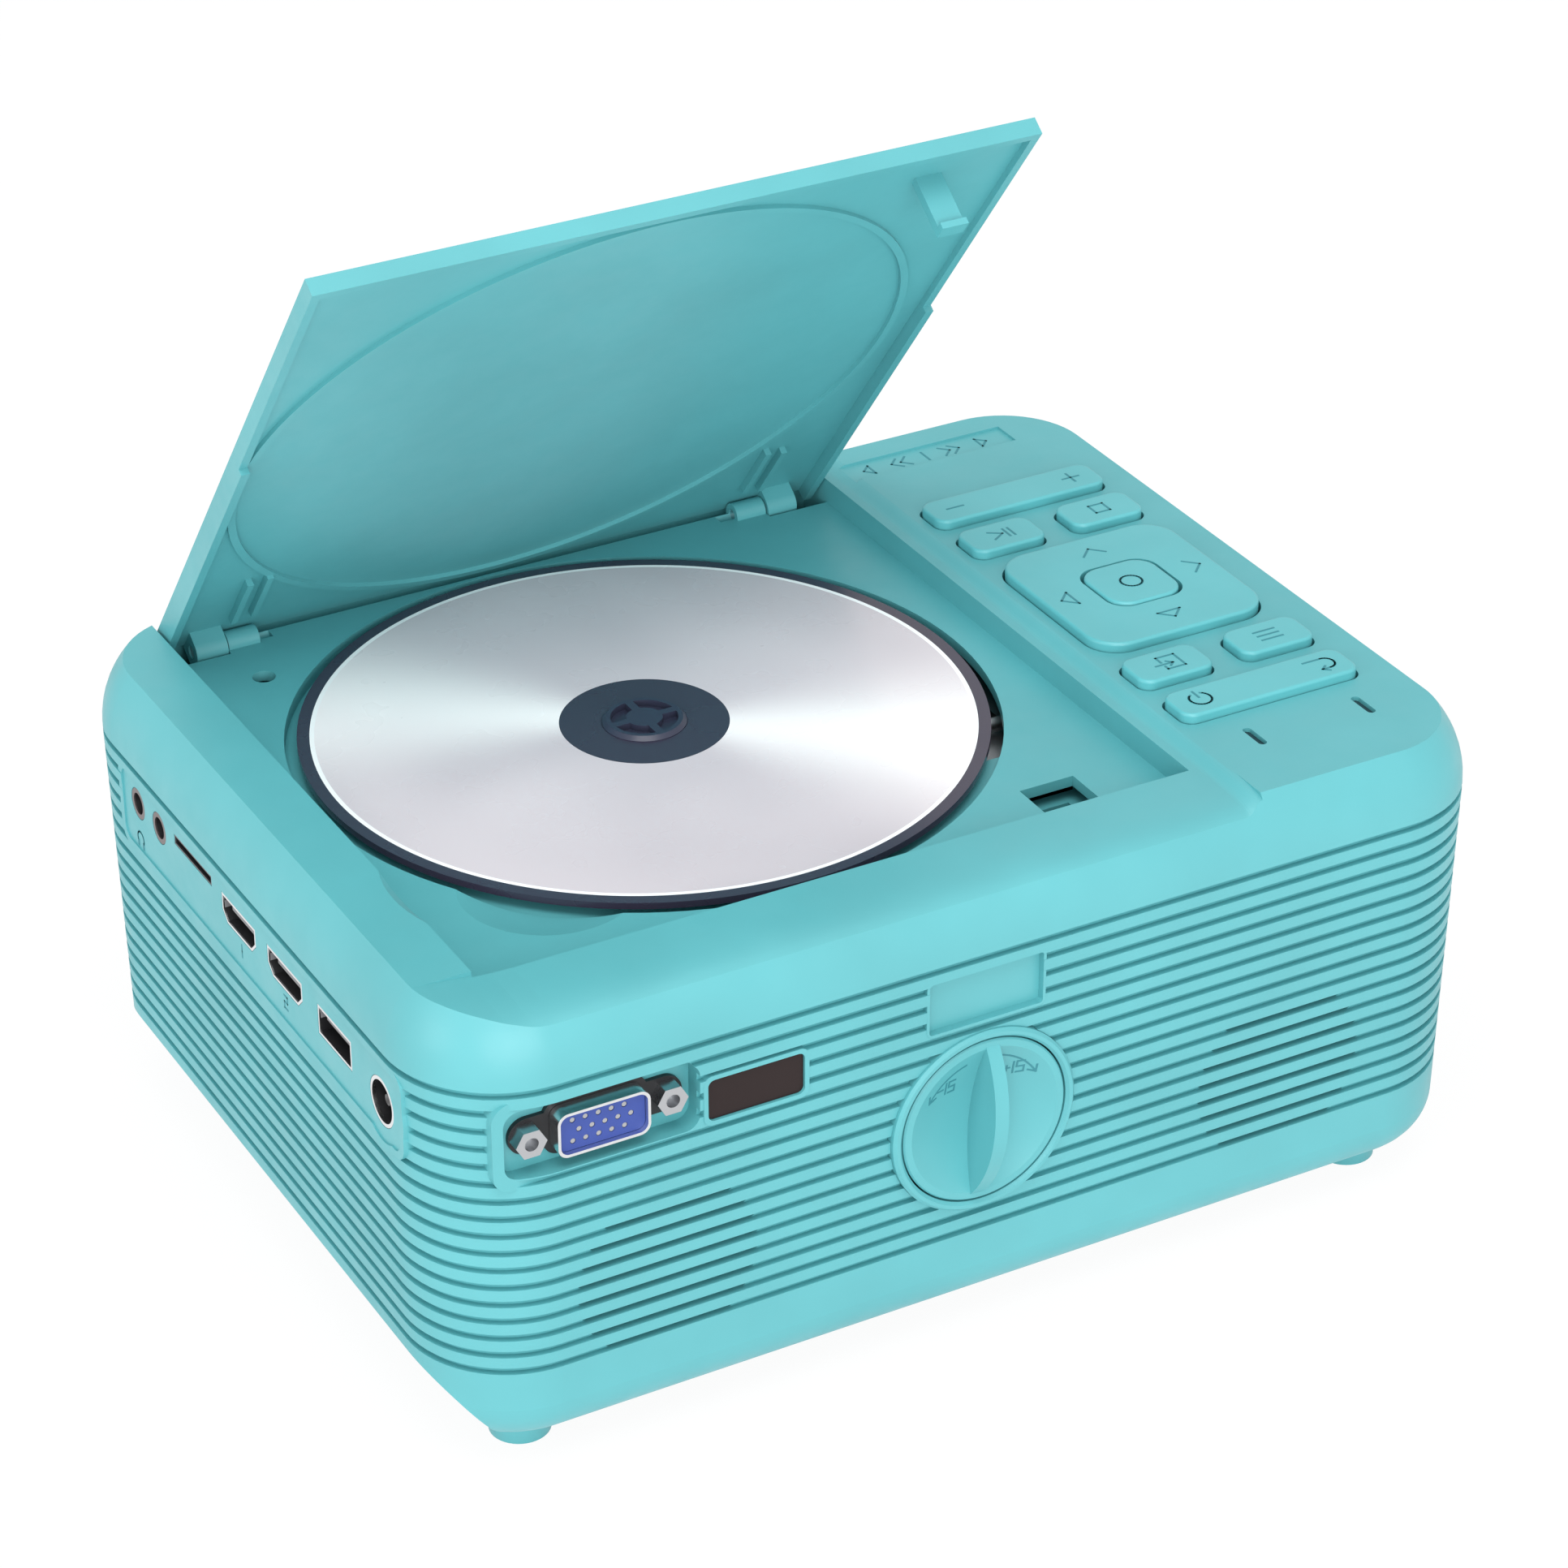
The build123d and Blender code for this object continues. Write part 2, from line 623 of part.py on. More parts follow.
# ================= lid =================
lid_front = lid_front_y - hinge_y
lid_top = crest_z - hinge_z
lid_under = lid_top - lid_skin
lid_mid_x = (lid_left_x + lid_right_x) / 2
lid_width = lid_right_x - lid_left_x
step_y = lid_skirt_step_y - hinge_y
knuckle_planes = [
    Plane(origin=(x, hinge_y, hinge_z), x_dir=(0, lid_cos, -lid_sin), z_dir=(1, 0, 0))
    for x in knuckle_x
]
with BuildPart() as lid:
    with BuildSketch(lid_plane.offset(lid_under)):
        with Locations((lid_mid_x, (lid_front + lid_back_overhang) / 2)):
            Rectangle(lid_width, lid_back_overhang - lid_front)
    extrude(amount=lid_skin)
    with BuildSketch(lid_plane.offset(lid_under)):
        with Locations((lid_mid_x, (lid_front + step_y) / 2)):
            Rectangle(lid_width, step_y - lid_front)
        with Locations((lid_mid_x, (lid_front + step_y) / 2 + lid_skirt_wall / 2)):
            Rectangle(
                lid_width - 2 * lid_skirt_wall, step_y - lid_front - lid_skirt_wall, mode=Mode.SUBTRACT
            )
    extrude(amount=-(lid_skirt_front - lid_skin + 0.6))
    with BuildSketch(lid_plane.offset(lid_under)):
        with Locations((lid_mid_x, (step_y + lid_back_overhang) / 2)):
            Rectangle(lid_width, lid_back_overhang - step_y)
            Rectangle(lid_width - 2 * lid_skirt_wall, lid_back_overhang - step_y, mode=Mode.SUBTRACT)
    extrude(amount=-(lid_skirt_back - lid_skin))
    with BuildSketch(lid_plane.offset(lid_under)):
        with Locations((disc_x, disc_y - hinge_y)):
            Circle(lid_ring_radius + lid_ring_width / 2)
            Circle(lid_ring_radius - lid_ring_width / 2, mode=Mode.SUBTRACT)
        with Locations((lid_mid_x, (lid_front + lid_back_overhang) / 2)):
            Rectangle(lid_width - 2, lid_back_overhang - lid_front - 2, mode=Mode.INTERSECT)
    extrude(amount=-lid_ring_height)
    for side in range(2):
        with BuildSketch(knuckle_planes[side]):
            Circle(hinge_knuckle_radius)
            with Locations((0, lid_under / 2)):
                Rectangle(2 * hinge_knuckle_radius, lid_under)
        extrude(amount=hinge_knuckle_length / 2, both=True)
        with BuildSketch(Plane.YZ.offset(knuckle_x[side])):
            with Locations((hinge_y, hinge_z)):
                Circle(hinge_pin_diameter / 2 + hinge_pin_fit)
        extrude(amount=hinge_knuckle_length / 2 + 0.01, both=True, mode=Mode.SUBTRACT)
    # latch hook behind the free edge, reaching down into the deck
    hook_length = hinge_z + lid_under - catch_top_z + catch_thickness + 1.6
    with BuildSketch(lid_plane.offset(lid_under)):
        with Locations((latch_x, hook_y - hinge_y)):
            Rectangle(5.0, 1.8)
    extrude(amount=-hook_length)
    with BuildSketch(lid_plane.offset(lid_under - hook_length)):
        with Locations((latch_x, hook_y - hinge_y - 0.6)):
            Rectangle(5.0, 3.0)
    extrude(amount=1.2)
    # stiffening ribs beside the hinge
    for side in range(2):
        rib_x = knuckle_x[side] - (hinge_knuckle_length / 2 + 1.5) * (2 * side - 1)
        with BuildSketch(lid_plane.offset(lid_under)):
            with Locations((rib_x, -13.0), (rib_x - 3.6 * (2 * side - 1), -14.0)):
                Rectangle(1.2, 15.0)
        extrude(amount=-1.4)
lid.part.label = "lid"
export_step(lid.part, "parts/lid.step")

pin_end_gap = 0.3
with BuildPart() as lid_hinge_pins:
    for side in range(2):
        pin_mid = (knuckle_x[side] + lug_x[side]) / 2
        with BuildSketch(Plane.YZ.offset(pin_mid)):
            with Locations((hinge_y, hinge_z)):
                Circle(hinge_pin_diameter / 2)
        extrude(amount=hinge_knuckle_length + fit_gap / 2 - pin_end_gap, both=True)
lid_hinge_pins.part.label = "lid_hinge_pins"
export_step(lid_hinge_pins.part, "parts/lid_hinge_pins.step")

# sliding catch under the deck, shown drawn back from the hook
with BuildPart() as lid_catch:
    with BuildSketch(Plane.XY.offset(catch_top_z)):
        with Locations((latch_x, latch_y - 0.5)):
            Rectangle(catch_width, latch_length + 7)
        with Locations((latch_x, latch_y + 1.6)):
            Rectangle(latch_width - 2, 8.0, mode=Mode.SUBTRACT)
    extrude(amount=-catch_thickness)
lid_catch.part.label = "lid_catch"
export_step(lid_catch.part, "parts/lid_catch.step")

# ================= disc and drive =================
hub_radius = 14.4
hub_height = 1.6
cone_rise = 2.0
cone_fit = 0.08
spindle_radius = 1.5
spindle_fit = 0.05
chassis_z = 74.2
chassis_thickness = 1.2
motor_radius = 12.5
motor_height = 2.6
rail_radius = 1.3
rail_spread = 22.0
rail_z = chassis_z + chassis_thickness + 1.9
sled_rest = 31.0
sled_travel = 22.0
sled_length = 20.0
sled_width = 52.0
sled_low_z = chassis_z + chassis_thickness + 0.4
sled_height = 3.6
rail_fit = 0.1
rail_start_x = disc_x + hub_radius + 2.0
rail_end_x = disc_x + tray_radius + 2.0

with BuildPart() as disc:
    with BuildSketch(Plane.XY.offset(disc_seat_z)):
        with Locations((disc_x, disc_y)):
            Circle(disc_diameter / 2)
            Circle(disc_hole / 2, mode=Mode.SUBTRACT)
    extrude(amount=disc_thickness)
disc.part.label = "disc"
export_step(disc.part, "parts/disc.step")

with BuildPart() as turntable:
    with BuildSketch(Plane.XY.offset(disc_seat_z)):
        with Locations((disc_x, disc_y)):
            Circle(hub_radius)
    extrude(amount=-hub_height)
    with BuildSketch(Plane.XY.offset(disc_seat_z)):
        with Locations((disc_x, disc_y)):
            Circle(disc_hole / 2 - cone_fit)
    extrude(amount=cone_rise)
    chamfer(turntable.edges().sort_by(Axis.Z)[-1], 0.7)
    with BuildSketch(Plane.XY.offset(disc_seat_z + cone_rise)):
        with Locations((disc_x, disc_y)):
            Circle(disc_hole / 2 - 1.6)
            Circle(3.2, mode=Mode.SUBTRACT)
        with Locations((disc_x, disc_y)):
            Rectangle(disc_hole, 1.5, mode=Mode.SUBTRACT)
            Rectangle(1.5, disc_hole, mode=Mode.SUBTRACT)
    extrude(amount=-1.2, mode=Mode.SUBTRACT)
    with BuildSketch(Plane.XY.offset(disc_seat_z - hub_height)):
        with Locations((disc_x, disc_y)):
            Circle(spindle_radius)
    extrude(amount=-(disc_seat_z - hub_height - chassis_z + 1.0))
turntable.part.label = "turntable"
export_step(turntable.part, "parts/turntable.step")

with BuildPart() as spindle_motor:
    with BuildSketch(Plane.XY.offset(chassis_z)):
        with Locations((disc_x, disc_y)):
            Circle(motor_radius)
    extrude(amount=-motor_height)
    with BuildSketch(Plane.XY.offset(chassis_z)):
        with Locations((disc_x, disc_y)):
            Circle(4.0)
    extrude(amount=chassis_thickness + 1.0)
    with BuildSketch(Plane.XY.offset(chassis_z - motor_height)):
        with Locations((disc_x, disc_y)):
            Circle(spindle_radius + spindle_fit)
    extrude(amount=motor_height + chassis_thickness + 2, mode=Mode.SUBTRACT)
spindle_motor.part.label = "spindle_motor"
export_step(spindle_motor.part, "parts/spindle_motor.step")

chassis_left_x = disc_x - 34.0
chassis_right_x = rail_end_x + 4.0
chassis_half = window_half + 4.0
damper_x = [chassis_left_x + 5.0, chassis_right_x - 5.0]
damper_y = [disc_y - chassis_half + 5.0, disc_y + chassis_half - 5.0]
with BuildPart() as drive_chassis:
    with BuildSketch(Plane.XY.offset(chassis_z)):
        with Locations(((chassis_left_x + chassis_right_x) / 2, disc_y)):
            RectangleRounded(chassis_right_x - chassis_left_x, 2 * chassis_half, 4)
        with Locations((disc_x, disc_y)):
            Circle(4.0, mode=Mode.SUBTRACT)
        with Locations(((rail_start_x + rail_end_x) / 2, disc_y)):
            Rectangle(rail_end_x - rail_start_x - 6, 2 * rail_spread - 10, mode=Mode.SUBTRACT)
        with Locations(
            (damper_x[0], damper_y[0]),
            (damper_x[1], damper_y[0]),
            (damper_x[0], damper_y[1]),
            (damper_x[1], damper_y[1]),
        ):
            Circle(2.4, mode=Mode.SUBTRACT)
    extrude(amount=chassis_thickness)
    rail_block_low = chassis_z + chassis_thickness
    with BuildSketch(Plane.XY.offset(rail_block_low)):
        with Locations(
            (rail_start_x, disc_y - rail_spread),
            (rail_start_x, disc_y + rail_spread),
            (rail_end_x, disc_y - rail_spread),
            (rail_end_x, disc_y + rail_spread),
        ):
            Rectangle(3.0, 5.0)
    extrude(amount=rail_z - rail_block_low + rail_radius - 0.9)
    for side in (-1, 1):
        with BuildSketch(Plane.YZ.offset(rail_start_x - 3)):
            with Locations((disc_y + side * rail_spread, rail_z)):
                Circle(rail_radius)
        extrude(amount=rail_end_x - rail_start_x + 6, mode=Mode.SUBTRACT)
drive_chassis.part.label = "drive_chassis"
export_step(drive_chassis.part, "parts/drive_chassis.step")

with BuildPart() as drive_dampers:
    with BuildSketch(Plane.XY.offset(chassis_z - 1.6)):
        with Locations(
            (damper_x[0], damper_y[0]),
            (damper_x[1], damper_y[0]),
            (damper_x[0], damper_y[1]),
            (damper_x[1], damper_y[1]),
        ):
            Circle(4.0)
    extrude(amount=1.6)
    with BuildSketch(Plane.XY.offset(chassis_z)):
        with Locations(
            (damper_x[0], damper_y[0]),
            (damper_x[1], damper_y[0]),
            (damper_x[0], damper_y[1]),
            (damper_x[1], damper_y[1]),
        ):
            Circle(2.4)
    extrude(amount=tray_floor_z - deck_skin - chassis_z)
    with BuildSketch(Plane.XY.offset(tray_floor_z - deck_skin)):
        with Locations((damper_x[1], damper_y[0]), (damper_x[1], damper_y[1])):
            Circle(2.4)
    extrude(amount=well_floor_z - tray_floor_z)
drive_dampers.part.label = "drive_dampers"
export_step(drive_dampers.part, "parts/drive_dampers.step")

with BuildPart() as guide_rails:
    for side in (-1, 1):
        with BuildSketch(Plane.YZ.offset(rail_start_x - 1.5)):
            with Locations((disc_y + side * rail_spread, rail_z)):
                Circle(rail_radius)
        extrude(amount=rail_end_x - rail_start_x + 3)
guide_rails.part.label = "guide_rails"
export_step(guide_rails.part, "parts/guide_rails.step")

sled_x = rail_start_x + 1.5 + 1.0 + sled_length / 2
with BuildPart() as pickup_sled:
    with BuildSketch(Plane.XY.offset(sled_low_z)):
        with Locations((sled_x, disc_y)):
            RectangleRounded(sled_length, sled_width, 2)
    extrude(amount=sled_height)
    with BuildSketch(Plane.XY.offset(sled_low_z + sled_height)):
        with Locations((sled_x, disc_y)):
            RectangleRounded(14, 14, 2)
            Circle(3.2, mode=Mode.SUBTRACT)
    extrude(amount=0.9)
    for side in (-1, 1):
        with BuildSketch(Plane.YZ.offset(sled_x - sled_length)):
            with Locations((disc_y + side * rail_spread, rail_z)):
                Circle(rail_radius + rail_fit)
        extrude(amount=2 * sled_length, mode=Mode.SUBTRACT)
pickup_sled.part.label = "pickup_sled"
export_step(pickup_sled.part, "parts/pickup_sled.step")

with BuildPart() as pickup_lens:
    with BuildSketch(Plane.XY.offset(sled_low_z + sled_height)):
        with Locations((sled_x, disc_y)):
            Circle(3.2)
    extrude(amount=0.6)
pickup_lens.part.label = "pickup_lens"
export_step(pickup_lens.part, "parts/pickup_lens.step")

# ================= keypad =================
key_clear = 0.8
flange_top_z = rim_z - panel_skin - key_clear
flange_low_z = flange_top_z - key_flange
mat_top_z = flange_low_z - 1.7
mat_thickness = 1.2
board_thickness = 1.6
key_board_z = mat_top_z - mat_thickness - board_thickness
key_board_left = well_right_x + deck_skin + 0.6
key_board_right = right_x - cavity_inset - 0.6
key_board_front = led_y - 5.0
key_board_back = volume_y + 8.0
key_edge_round = 0.6
dome_radius = 2.6
dome_top_z = flange_low_z - 0.75
key_names = ["volume_key", "power_key", "play_key", "stop_key", "source_key", "menu_key"]
key_places = [
    (key_centre_x, volume_y),
    (key_centre_x, power_key_y),
    (key_left_x, play_y),
    (key_right_x, play_y),
    (key_left_x, menu_y),
    (key_right_x, menu_y),
]
for name, place in zip(key_names, key_places):
    wide = key_span if name in ("volume_key", "power_key") else key_width
    deep = rocker_depth if name in ("volume_key", "power_key") else key_depth
    with BuildPart() as key:
        with BuildSketch(Plane.XY.offset(flange_low_z)):
            with Locations(place):
                RectangleRounded(wide, deep, key_corner)
        extrude(amount=key_top_z - flange_low_z)
        fillet(key.faces().sort_by(Axis.Z)[-1].edges(), key_edge_round)
        with BuildSketch(Plane.XY.offset(flange_low_z)):
            with Locations(place):
                RectangleRounded(wide + 2 * key_flange_width, deep + 2 * key_flange_width, key_corner)
        extrude(amount=key_flange)
    key.part.label = name
    export_step(key.part, "parts/" + name + ".step")

with BuildPart() as direction_pad:
    with BuildSketch(Plane.XY.offset(flange_low_z)):
        with Locations((key_centre_x, pad_y)):
            RectangleRounded(pad_width, pad_depth, pad_corner)
    extrude(amount=key_top_z - flange_low_z)
    fillet(direction_pad.faces().sort_by(Axis.Z)[-1].edges(), key_edge_round)
    with BuildSketch(Plane.XY.offset(flange_low_z)):
        with Locations((key_centre_x, pad_y)):
            RectangleRounded(pad_width + 1.4, pad_depth + 1.4, pad_corner)
    extrude(amount=key_flange)
    with BuildSketch(Plane.XY.offset(flange_low_z - 1)):
        with Locations((key_centre_x, pad_y)):
            RectangleRounded(pad_hole, pad_hole, ok_corner)
    extrude(amount=key_top_z - flange_low_z + 2, mode=Mode.SUBTRACT)
direction_pad.part.label = "direction_pad"
export_step(direction_pad.part, "parts/direction_pad.step")

ring_gap = 0.5
ring_outer = 12.4
ring_inner = 10.0
nub_place = (ring_outer + ring_inner) / 2
with BuildPart() as pad_rocker_ring:
    with BuildSketch(Plane.XY.offset(flange_low_z - ring_gap)):
        with Locations((key_centre_x, pad_y)):
            Circle(ring_outer)
            Circle(ring_inner, mode=Mode.SUBTRACT)
    extrude(amount=-0.6)
    with BuildSketch(Plane.XY.offset(flange_low_z - ring_gap)):
        with Locations((key_centre_x - nub_place, pad_y), (key_centre_x + nub_place, pad_y)):
            Rectangle(1.6, 0.8)
    extrude(amount=ring_gap - 0.03)
    with BuildSketch(Plane.XY.offset(mat_top_z + 0.03)):
        with Locations((key_centre_x, pad_y - nub_place), (key_centre_x, pad_y + nub_place)):
            Rectangle(0.8, 1.6)
    extrude(amount=flange_low_z - ring_gap - 0.6 - mat_top_z - 0.03)
pad_rocker_ring.part.label = "pad_rocker_ring"
export_step(pad_rocker_ring.part, "parts/pad_rocker_ring.step")

with BuildPart() as centre_key:
    with BuildSketch(Plane.XY.offset(flange_low_z)):
        with Locations((key_centre_x, pad_y)):
            RectangleRounded(ok_width, ok_width, ok_corner)
    extrude(amount=key_top_z + 0.3 - flange_low_z)
    fillet(centre_key.faces().sort_by(Axis.Z)[-1].edges(), key_edge_round)
centre_key.part.label = "centre_key"
export_step(centre_key.part, "parts/centre_key.step")

with BuildPart() as keypad_mat:
    with BuildSketch(Plane.XY.offset(mat_top_z - mat_thickness)):
        with Locations(
            ((key_board_left + key_board_right) / 2, (key_board_front + key_board_back) / 2)
        ):
            Rectangle(
                key_board_right - key_board_left - 2, key_board_back - key_board_front - 2
            )
        with Locations((led_x[0], led_y), (led_x[1], led_y)):
            Rectangle(3.4, led_length + 2, mode=Mode.SUBTRACT)
        with Locations((screw_x, -screw_y)):
            Circle(post_radius + 1, mode=Mode.SUBTRACT)
    extrude(amount=mat_thickness)
    with BuildSketch(Plane.XY.offset(mat_top_z)):
        with Locations(
            (key_centre_x - 12, volume_y),
            (key_centre_x + 12, volume_y),
            (key_centre_x - 12, power_key_y),
            (key_centre_x + 12, power_key_y),
            (key_left_x, play_y),
            (key_right_x, play_y),
            (key_left_x, menu_y),
            (key_right_x, menu_y),
            (key_centre_x, pad_y),
        ):
            Circle(dome_radius)
    extrude(amount=dome_top_z - mat_top_z)
keypad_mat.part.label = "keypad_mat"
export_step(keypad_mat.part, "parts/keypad_mat.step")

with BuildPart() as keypad_board:
    with BuildSketch(Plane.XY.offset(key_board_z)):
        with Locations(
            ((key_board_left + key_board_right) / 2, (key_board_front + key_board_back) / 2)
        ):
            Rectangle(key_board_right - key_board_left, key_board_back - key_board_front)
        with Locations((screw_x, -screw_y)):
            Circle(post_radius + 1, mode=Mode.SUBTRACT)
    extrude(amount=board_thickness)
keypad_board.part.label = "keypad_board"
export_step(keypad_board.part, "parts/keypad_board.step")

with BuildPart() as led_pipes:
    with BuildSketch(Plane.XY.offset(key_board_z + board_thickness)):
        with Locations((led_x[0], led_y), (led_x[1], led_y)):
            SlotOverall(led_length, led_width, rotation=90)
    extrude(amount=rim_z - 0.8 - key_board_z - board_thickness)
led_pipes.part.label = "led_pipes"
export_step(led_pipes.part, "parts/led_pipes.step")

# ================= sockets =================
socket_inset = panel_recess + 0.05
socket_back_x = left_x + 14.0
socket_face_x = left_x + socket_inset
socket_fit = 0.1
socket_skin = 0.45
tongue_setback = 1.0
board_top_z = usb_z - usb_height / 2
board_left_x = left_x + shell_wall + 2.0
board_right_x = 30.0
board_half = 56.0
socket_plane = left_face.offset(-socket_inset)

with BuildPart() as main_board:
    with BuildSketch(Plane.XY.offset(board_top_z - board_thickness)):
        with Locations(((board_left_x + board_right_x) / 2, 0)):
            Rectangle(board_right_x - board_left_x, 2 * board_half)
        with Locations((-screw_x, screw_y), (-screw_x, -screw_y)):
            Circle(post_radius + 1, mode=Mode.SUBTRACT)
        with Locations((board_left_x, power_y)):
            Rectangle(22, power_bore + 1.5, mode=Mode.SUBTRACT)
        with Locations((vga_x, -board_half)):
            Rectangle(30, 8, mode=Mode.SUBTRACT)
    extrude(amount=board_thickness)
    with BuildSketch(Plane.XY.offset(board_top_z)):
        with Locations((-45, 0)):
            Rectangle(24, 24)
        with Locations((-10, 18), (-10, -16), (10, 34)):
            Rectangle(14, 10)
    extrude(amount=1.8)
    with BuildSketch(Plane.XY.offset(board_top_z)):
        with Locations((12, -30), (18, -8), (-20, 44), (-62, 34)):
            Circle(3.0)
    extrude(amount=5.6)
main_board.part.label = "main_board"
export_step(main_board.part, "parts/main_board.step")

socket_length = socket_back_x - socket_face_x
with BuildPart() as video_sockets:
    with BuildSketch(socket_plane):
        for place in video_y:
            with BuildLine():
                Polyline(*video_outline(place, socket_fit), close=True)
            make_face()
    extrude(amount=-socket_length)
    with BuildSketch(socket_plane):
        for place in video_y:
            with BuildLine():
                Polyline(*video_outline(place, socket_fit + socket_skin), close=True)
            make_face()
    extrude(amount=-socket_length + 2, mode=Mode.SUBTRACT)
    with BuildSketch(socket_plane.offset(-socket_length + 1)):
        with Locations((-video_y[0], video_z + 0.3), (-video_y[1], video_z + 0.3)):
            Rectangle(video_width - 4.2, 1.1)
    extrude(amount=socket_length - 1 - tongue_setback)
video_sockets.part.label = "video_sockets"
export_step(video_sockets.part, "parts/video_sockets.step")

with BuildPart() as usb_socket:
    with BuildSketch(socket_plane):
        with Locations((-usb_y, usb_z)):
            Rectangle(usb_width - 2 * socket_fit, usb_height - 2 * socket_fit)
    extrude(amount=-socket_length)
    with BuildSketch(socket_plane):
        with Locations((-usb_y, usb_z)):
            Rectangle(
                usb_width - 2 * socket_fit - 2 * socket_skin,
                usb_height - 2 * socket_fit - 2 * socket_skin,
            )
    extrude(amount=-socket_length + 2, mode=Mode.SUBTRACT)
    with BuildSketch(socket_plane.offset(-socket_length + 1)):
        with Locations((-usb_y, usb_z + 0.9)):
            Rectangle(usb_width - 2.8, 1.7)
    extrude(amount=socket_length - 1 - tongue_setback)
usb_socket.part.label = "usb_socket"
export_step(usb_socket.part, "parts/usb_socket.step")

with BuildPart() as card_socket:
    with BuildSketch(socket_plane):
        with Locations((-card_y, card_z)):
            Rectangle(card_width - 2 * socket_fit, card_height - 2 * socket_fit)
    extrude(amount=-socket_length)
    with BuildSketch(socket_plane):
        with Locations((-card_y, card_z)):
            Rectangle(card_width - 0.7, card_height - 0.7)
    extrude(amount=-socket_length + 2, mode=Mode.SUBTRACT)
card_socket.part.label = "card_socket"
export_step(card_socket.part, "parts/card_socket.step")

with BuildPart() as audio_sockets:
    with BuildSketch(socket_plane):
        with Locations((-jack_y[0], jack_z), (-jack_y[1], jack_z)):
            Circle(jack_bore / 2 - socket_fit)
    extrude(amount=-socket_length)
    with BuildSketch(socket_plane):
        with Locations((-jack_y[0], jack_z), (-jack_y[1], jack_z)):
            Circle(2.0)
    extrude(amount=-socket_length + 2, mode=Mode.SUBTRACT)
audio_sockets.part.label = "audio_sockets"
export_step(audio_sockets.part, "parts/audio_sockets.step")

with BuildPart() as power_inlet:
    with BuildSketch(socket_plane):
        with Locations((-power_y, power_z)):
            Circle(power_bore / 2 - socket_fit)
    extrude(amount=-socket_length)
    with BuildSketch(socket_plane):
        with Locations((-power_y, power_z)):
            Circle(power_bore / 2 - 0.75)
    extrude(amount=-socket_length + 3, mode=Mode.SUBTRACT)
    with BuildSketch(socket_plane.offset(-socket_length + 2)):
        with Locations((-power_y, power_z)):
            Circle(1.0)
    extrude(amount=socket_length - 2 - tongue_setback)
power_inlet.part.label = "power_inlet"
export_step(power_inlet.part, "parts/power_inlet.step")

vga_body_depth = 5.0
vga_floor = front_face.offset(-vga_recess_depth)
with BuildPart() as vga_shell:
    with BuildSketch(vga_floor):
        with Locations((vga_x, vga_z)):
            RectangleRounded(30.8, 6.6, 3.2)
            RectangleRounded(vga_shell_width + 1.8, vga_shell_height + 1.6, 2.6)
        with Locations((vga_x - jackscrew_pitch / 2, vga_z), (vga_x + jackscrew_pitch / 2, vga_z)):
            Circle(1.6, mode=Mode.SUBTRACT)
    extrude(amount=0.8)
    with BuildSketch(vga_floor):
        with Locations((vga_x, vga_z)):
            RectangleRounded(vga_shell_width - 0.2, vga_shell_height - 0.2, 1.9)
    extrude(amount=vga_recess_depth - 0.2)
    with BuildSketch(vga_floor.offset(-1)):
        with Locations((vga_x, vga_z)):
            RectangleRounded(vga_shell_width - 1.2, vga_shell_height - 1.2, 1.5)
    extrude(amount=vga_recess_depth + 2, mode=Mode.SUBTRACT)
vga_shell.part.label = "vga_shell"
export_step(vga_shell.part, "parts/vga_shell.step")

with BuildPart() as vga_insert:
    with BuildSketch(vga_floor.offset(-vga_body_depth)):
        with Locations((vga_x, vga_z)):
            RectangleRounded(vga_shell_width - 1.3, vga_shell_height - 1.3, 1.4)
    extrude(amount=vga_body_depth + vga_recess_depth - 1.2)
    with BuildSketch(front_face):
        for row in range(3):
            offset_x = 0.57 if row == 1 else -0.57
            for column in range(5):
                with Locations((vga_x + (column - 2) * 2.29 + offset_x, vga_z + (row - 1) * 1.98)):
                    Circle(0.5)
    extrude(amount=-4.5, mode=Mode.SUBTRACT)
vga_insert.part.label = "vga_insert"
export_step(vga_insert.part, "parts/vga_insert.step")

with BuildPart() as vga_jackscrews:
    with BuildSketch(vga_floor.offset(0.8)):
        with Locations((vga_x - jackscrew_pitch / 2, vga_z), (vga_x + jackscrew_pitch / 2, vga_z)):
            RegularPolygon(2.75, 6)
    extrude(amount=2.6)
    with BuildSketch(vga_floor.offset(0.8)):
        with Locations((vga_x - jackscrew_pitch / 2, vga_z), (vga_x + jackscrew_pitch / 2, vga_z)):
            Circle(1.55)
    extrude(amount=-6)
    with BuildSketch(front_face):
        with Locations((vga_x - jackscrew_pitch / 2, vga_z), (vga_x + jackscrew_pitch / 2, vga_z)):
            Circle(1.2)
    extrude(amount=-3.6, mode=Mode.SUBTRACT)
vga_jackscrews.part.label = "vga_jackscrews"
export_step(vga_jackscrews.part, "parts/vga_jackscrews.step")

ir_plane = front_face.offset(-draft_at(ir_z) - 0.4)
with BuildPart() as ir_window:
    with BuildSketch(ir_plane):
        with Locations((ir_x, ir_z)):
            RectangleRounded(ir_width - 0.2, ir_height - 0.2, 1.1)
    extrude(amount=-1.8)
ir_window.part.label = "ir_window"
export_step(ir_window.part, "parts/ir_window.step")

with BuildPart() as ir_receiver:
    with BuildSketch(ir_plane.offset(-3.2)):
        with Locations((ir_x, ir_z - 0.4)):
            Rectangle(6.6, 6.6)
    extrude(amount=-3.0)
    with BuildSketch(ir_plane.offset(-3.2)):
        with Locations((ir_x, ir_z)):
            Circle(2.4)
    extrude(amount=1.0)
ir_receiver.part.label = "ir_receiver"
export_step(ir_receiver.part, "parts/ir_receiver.step")

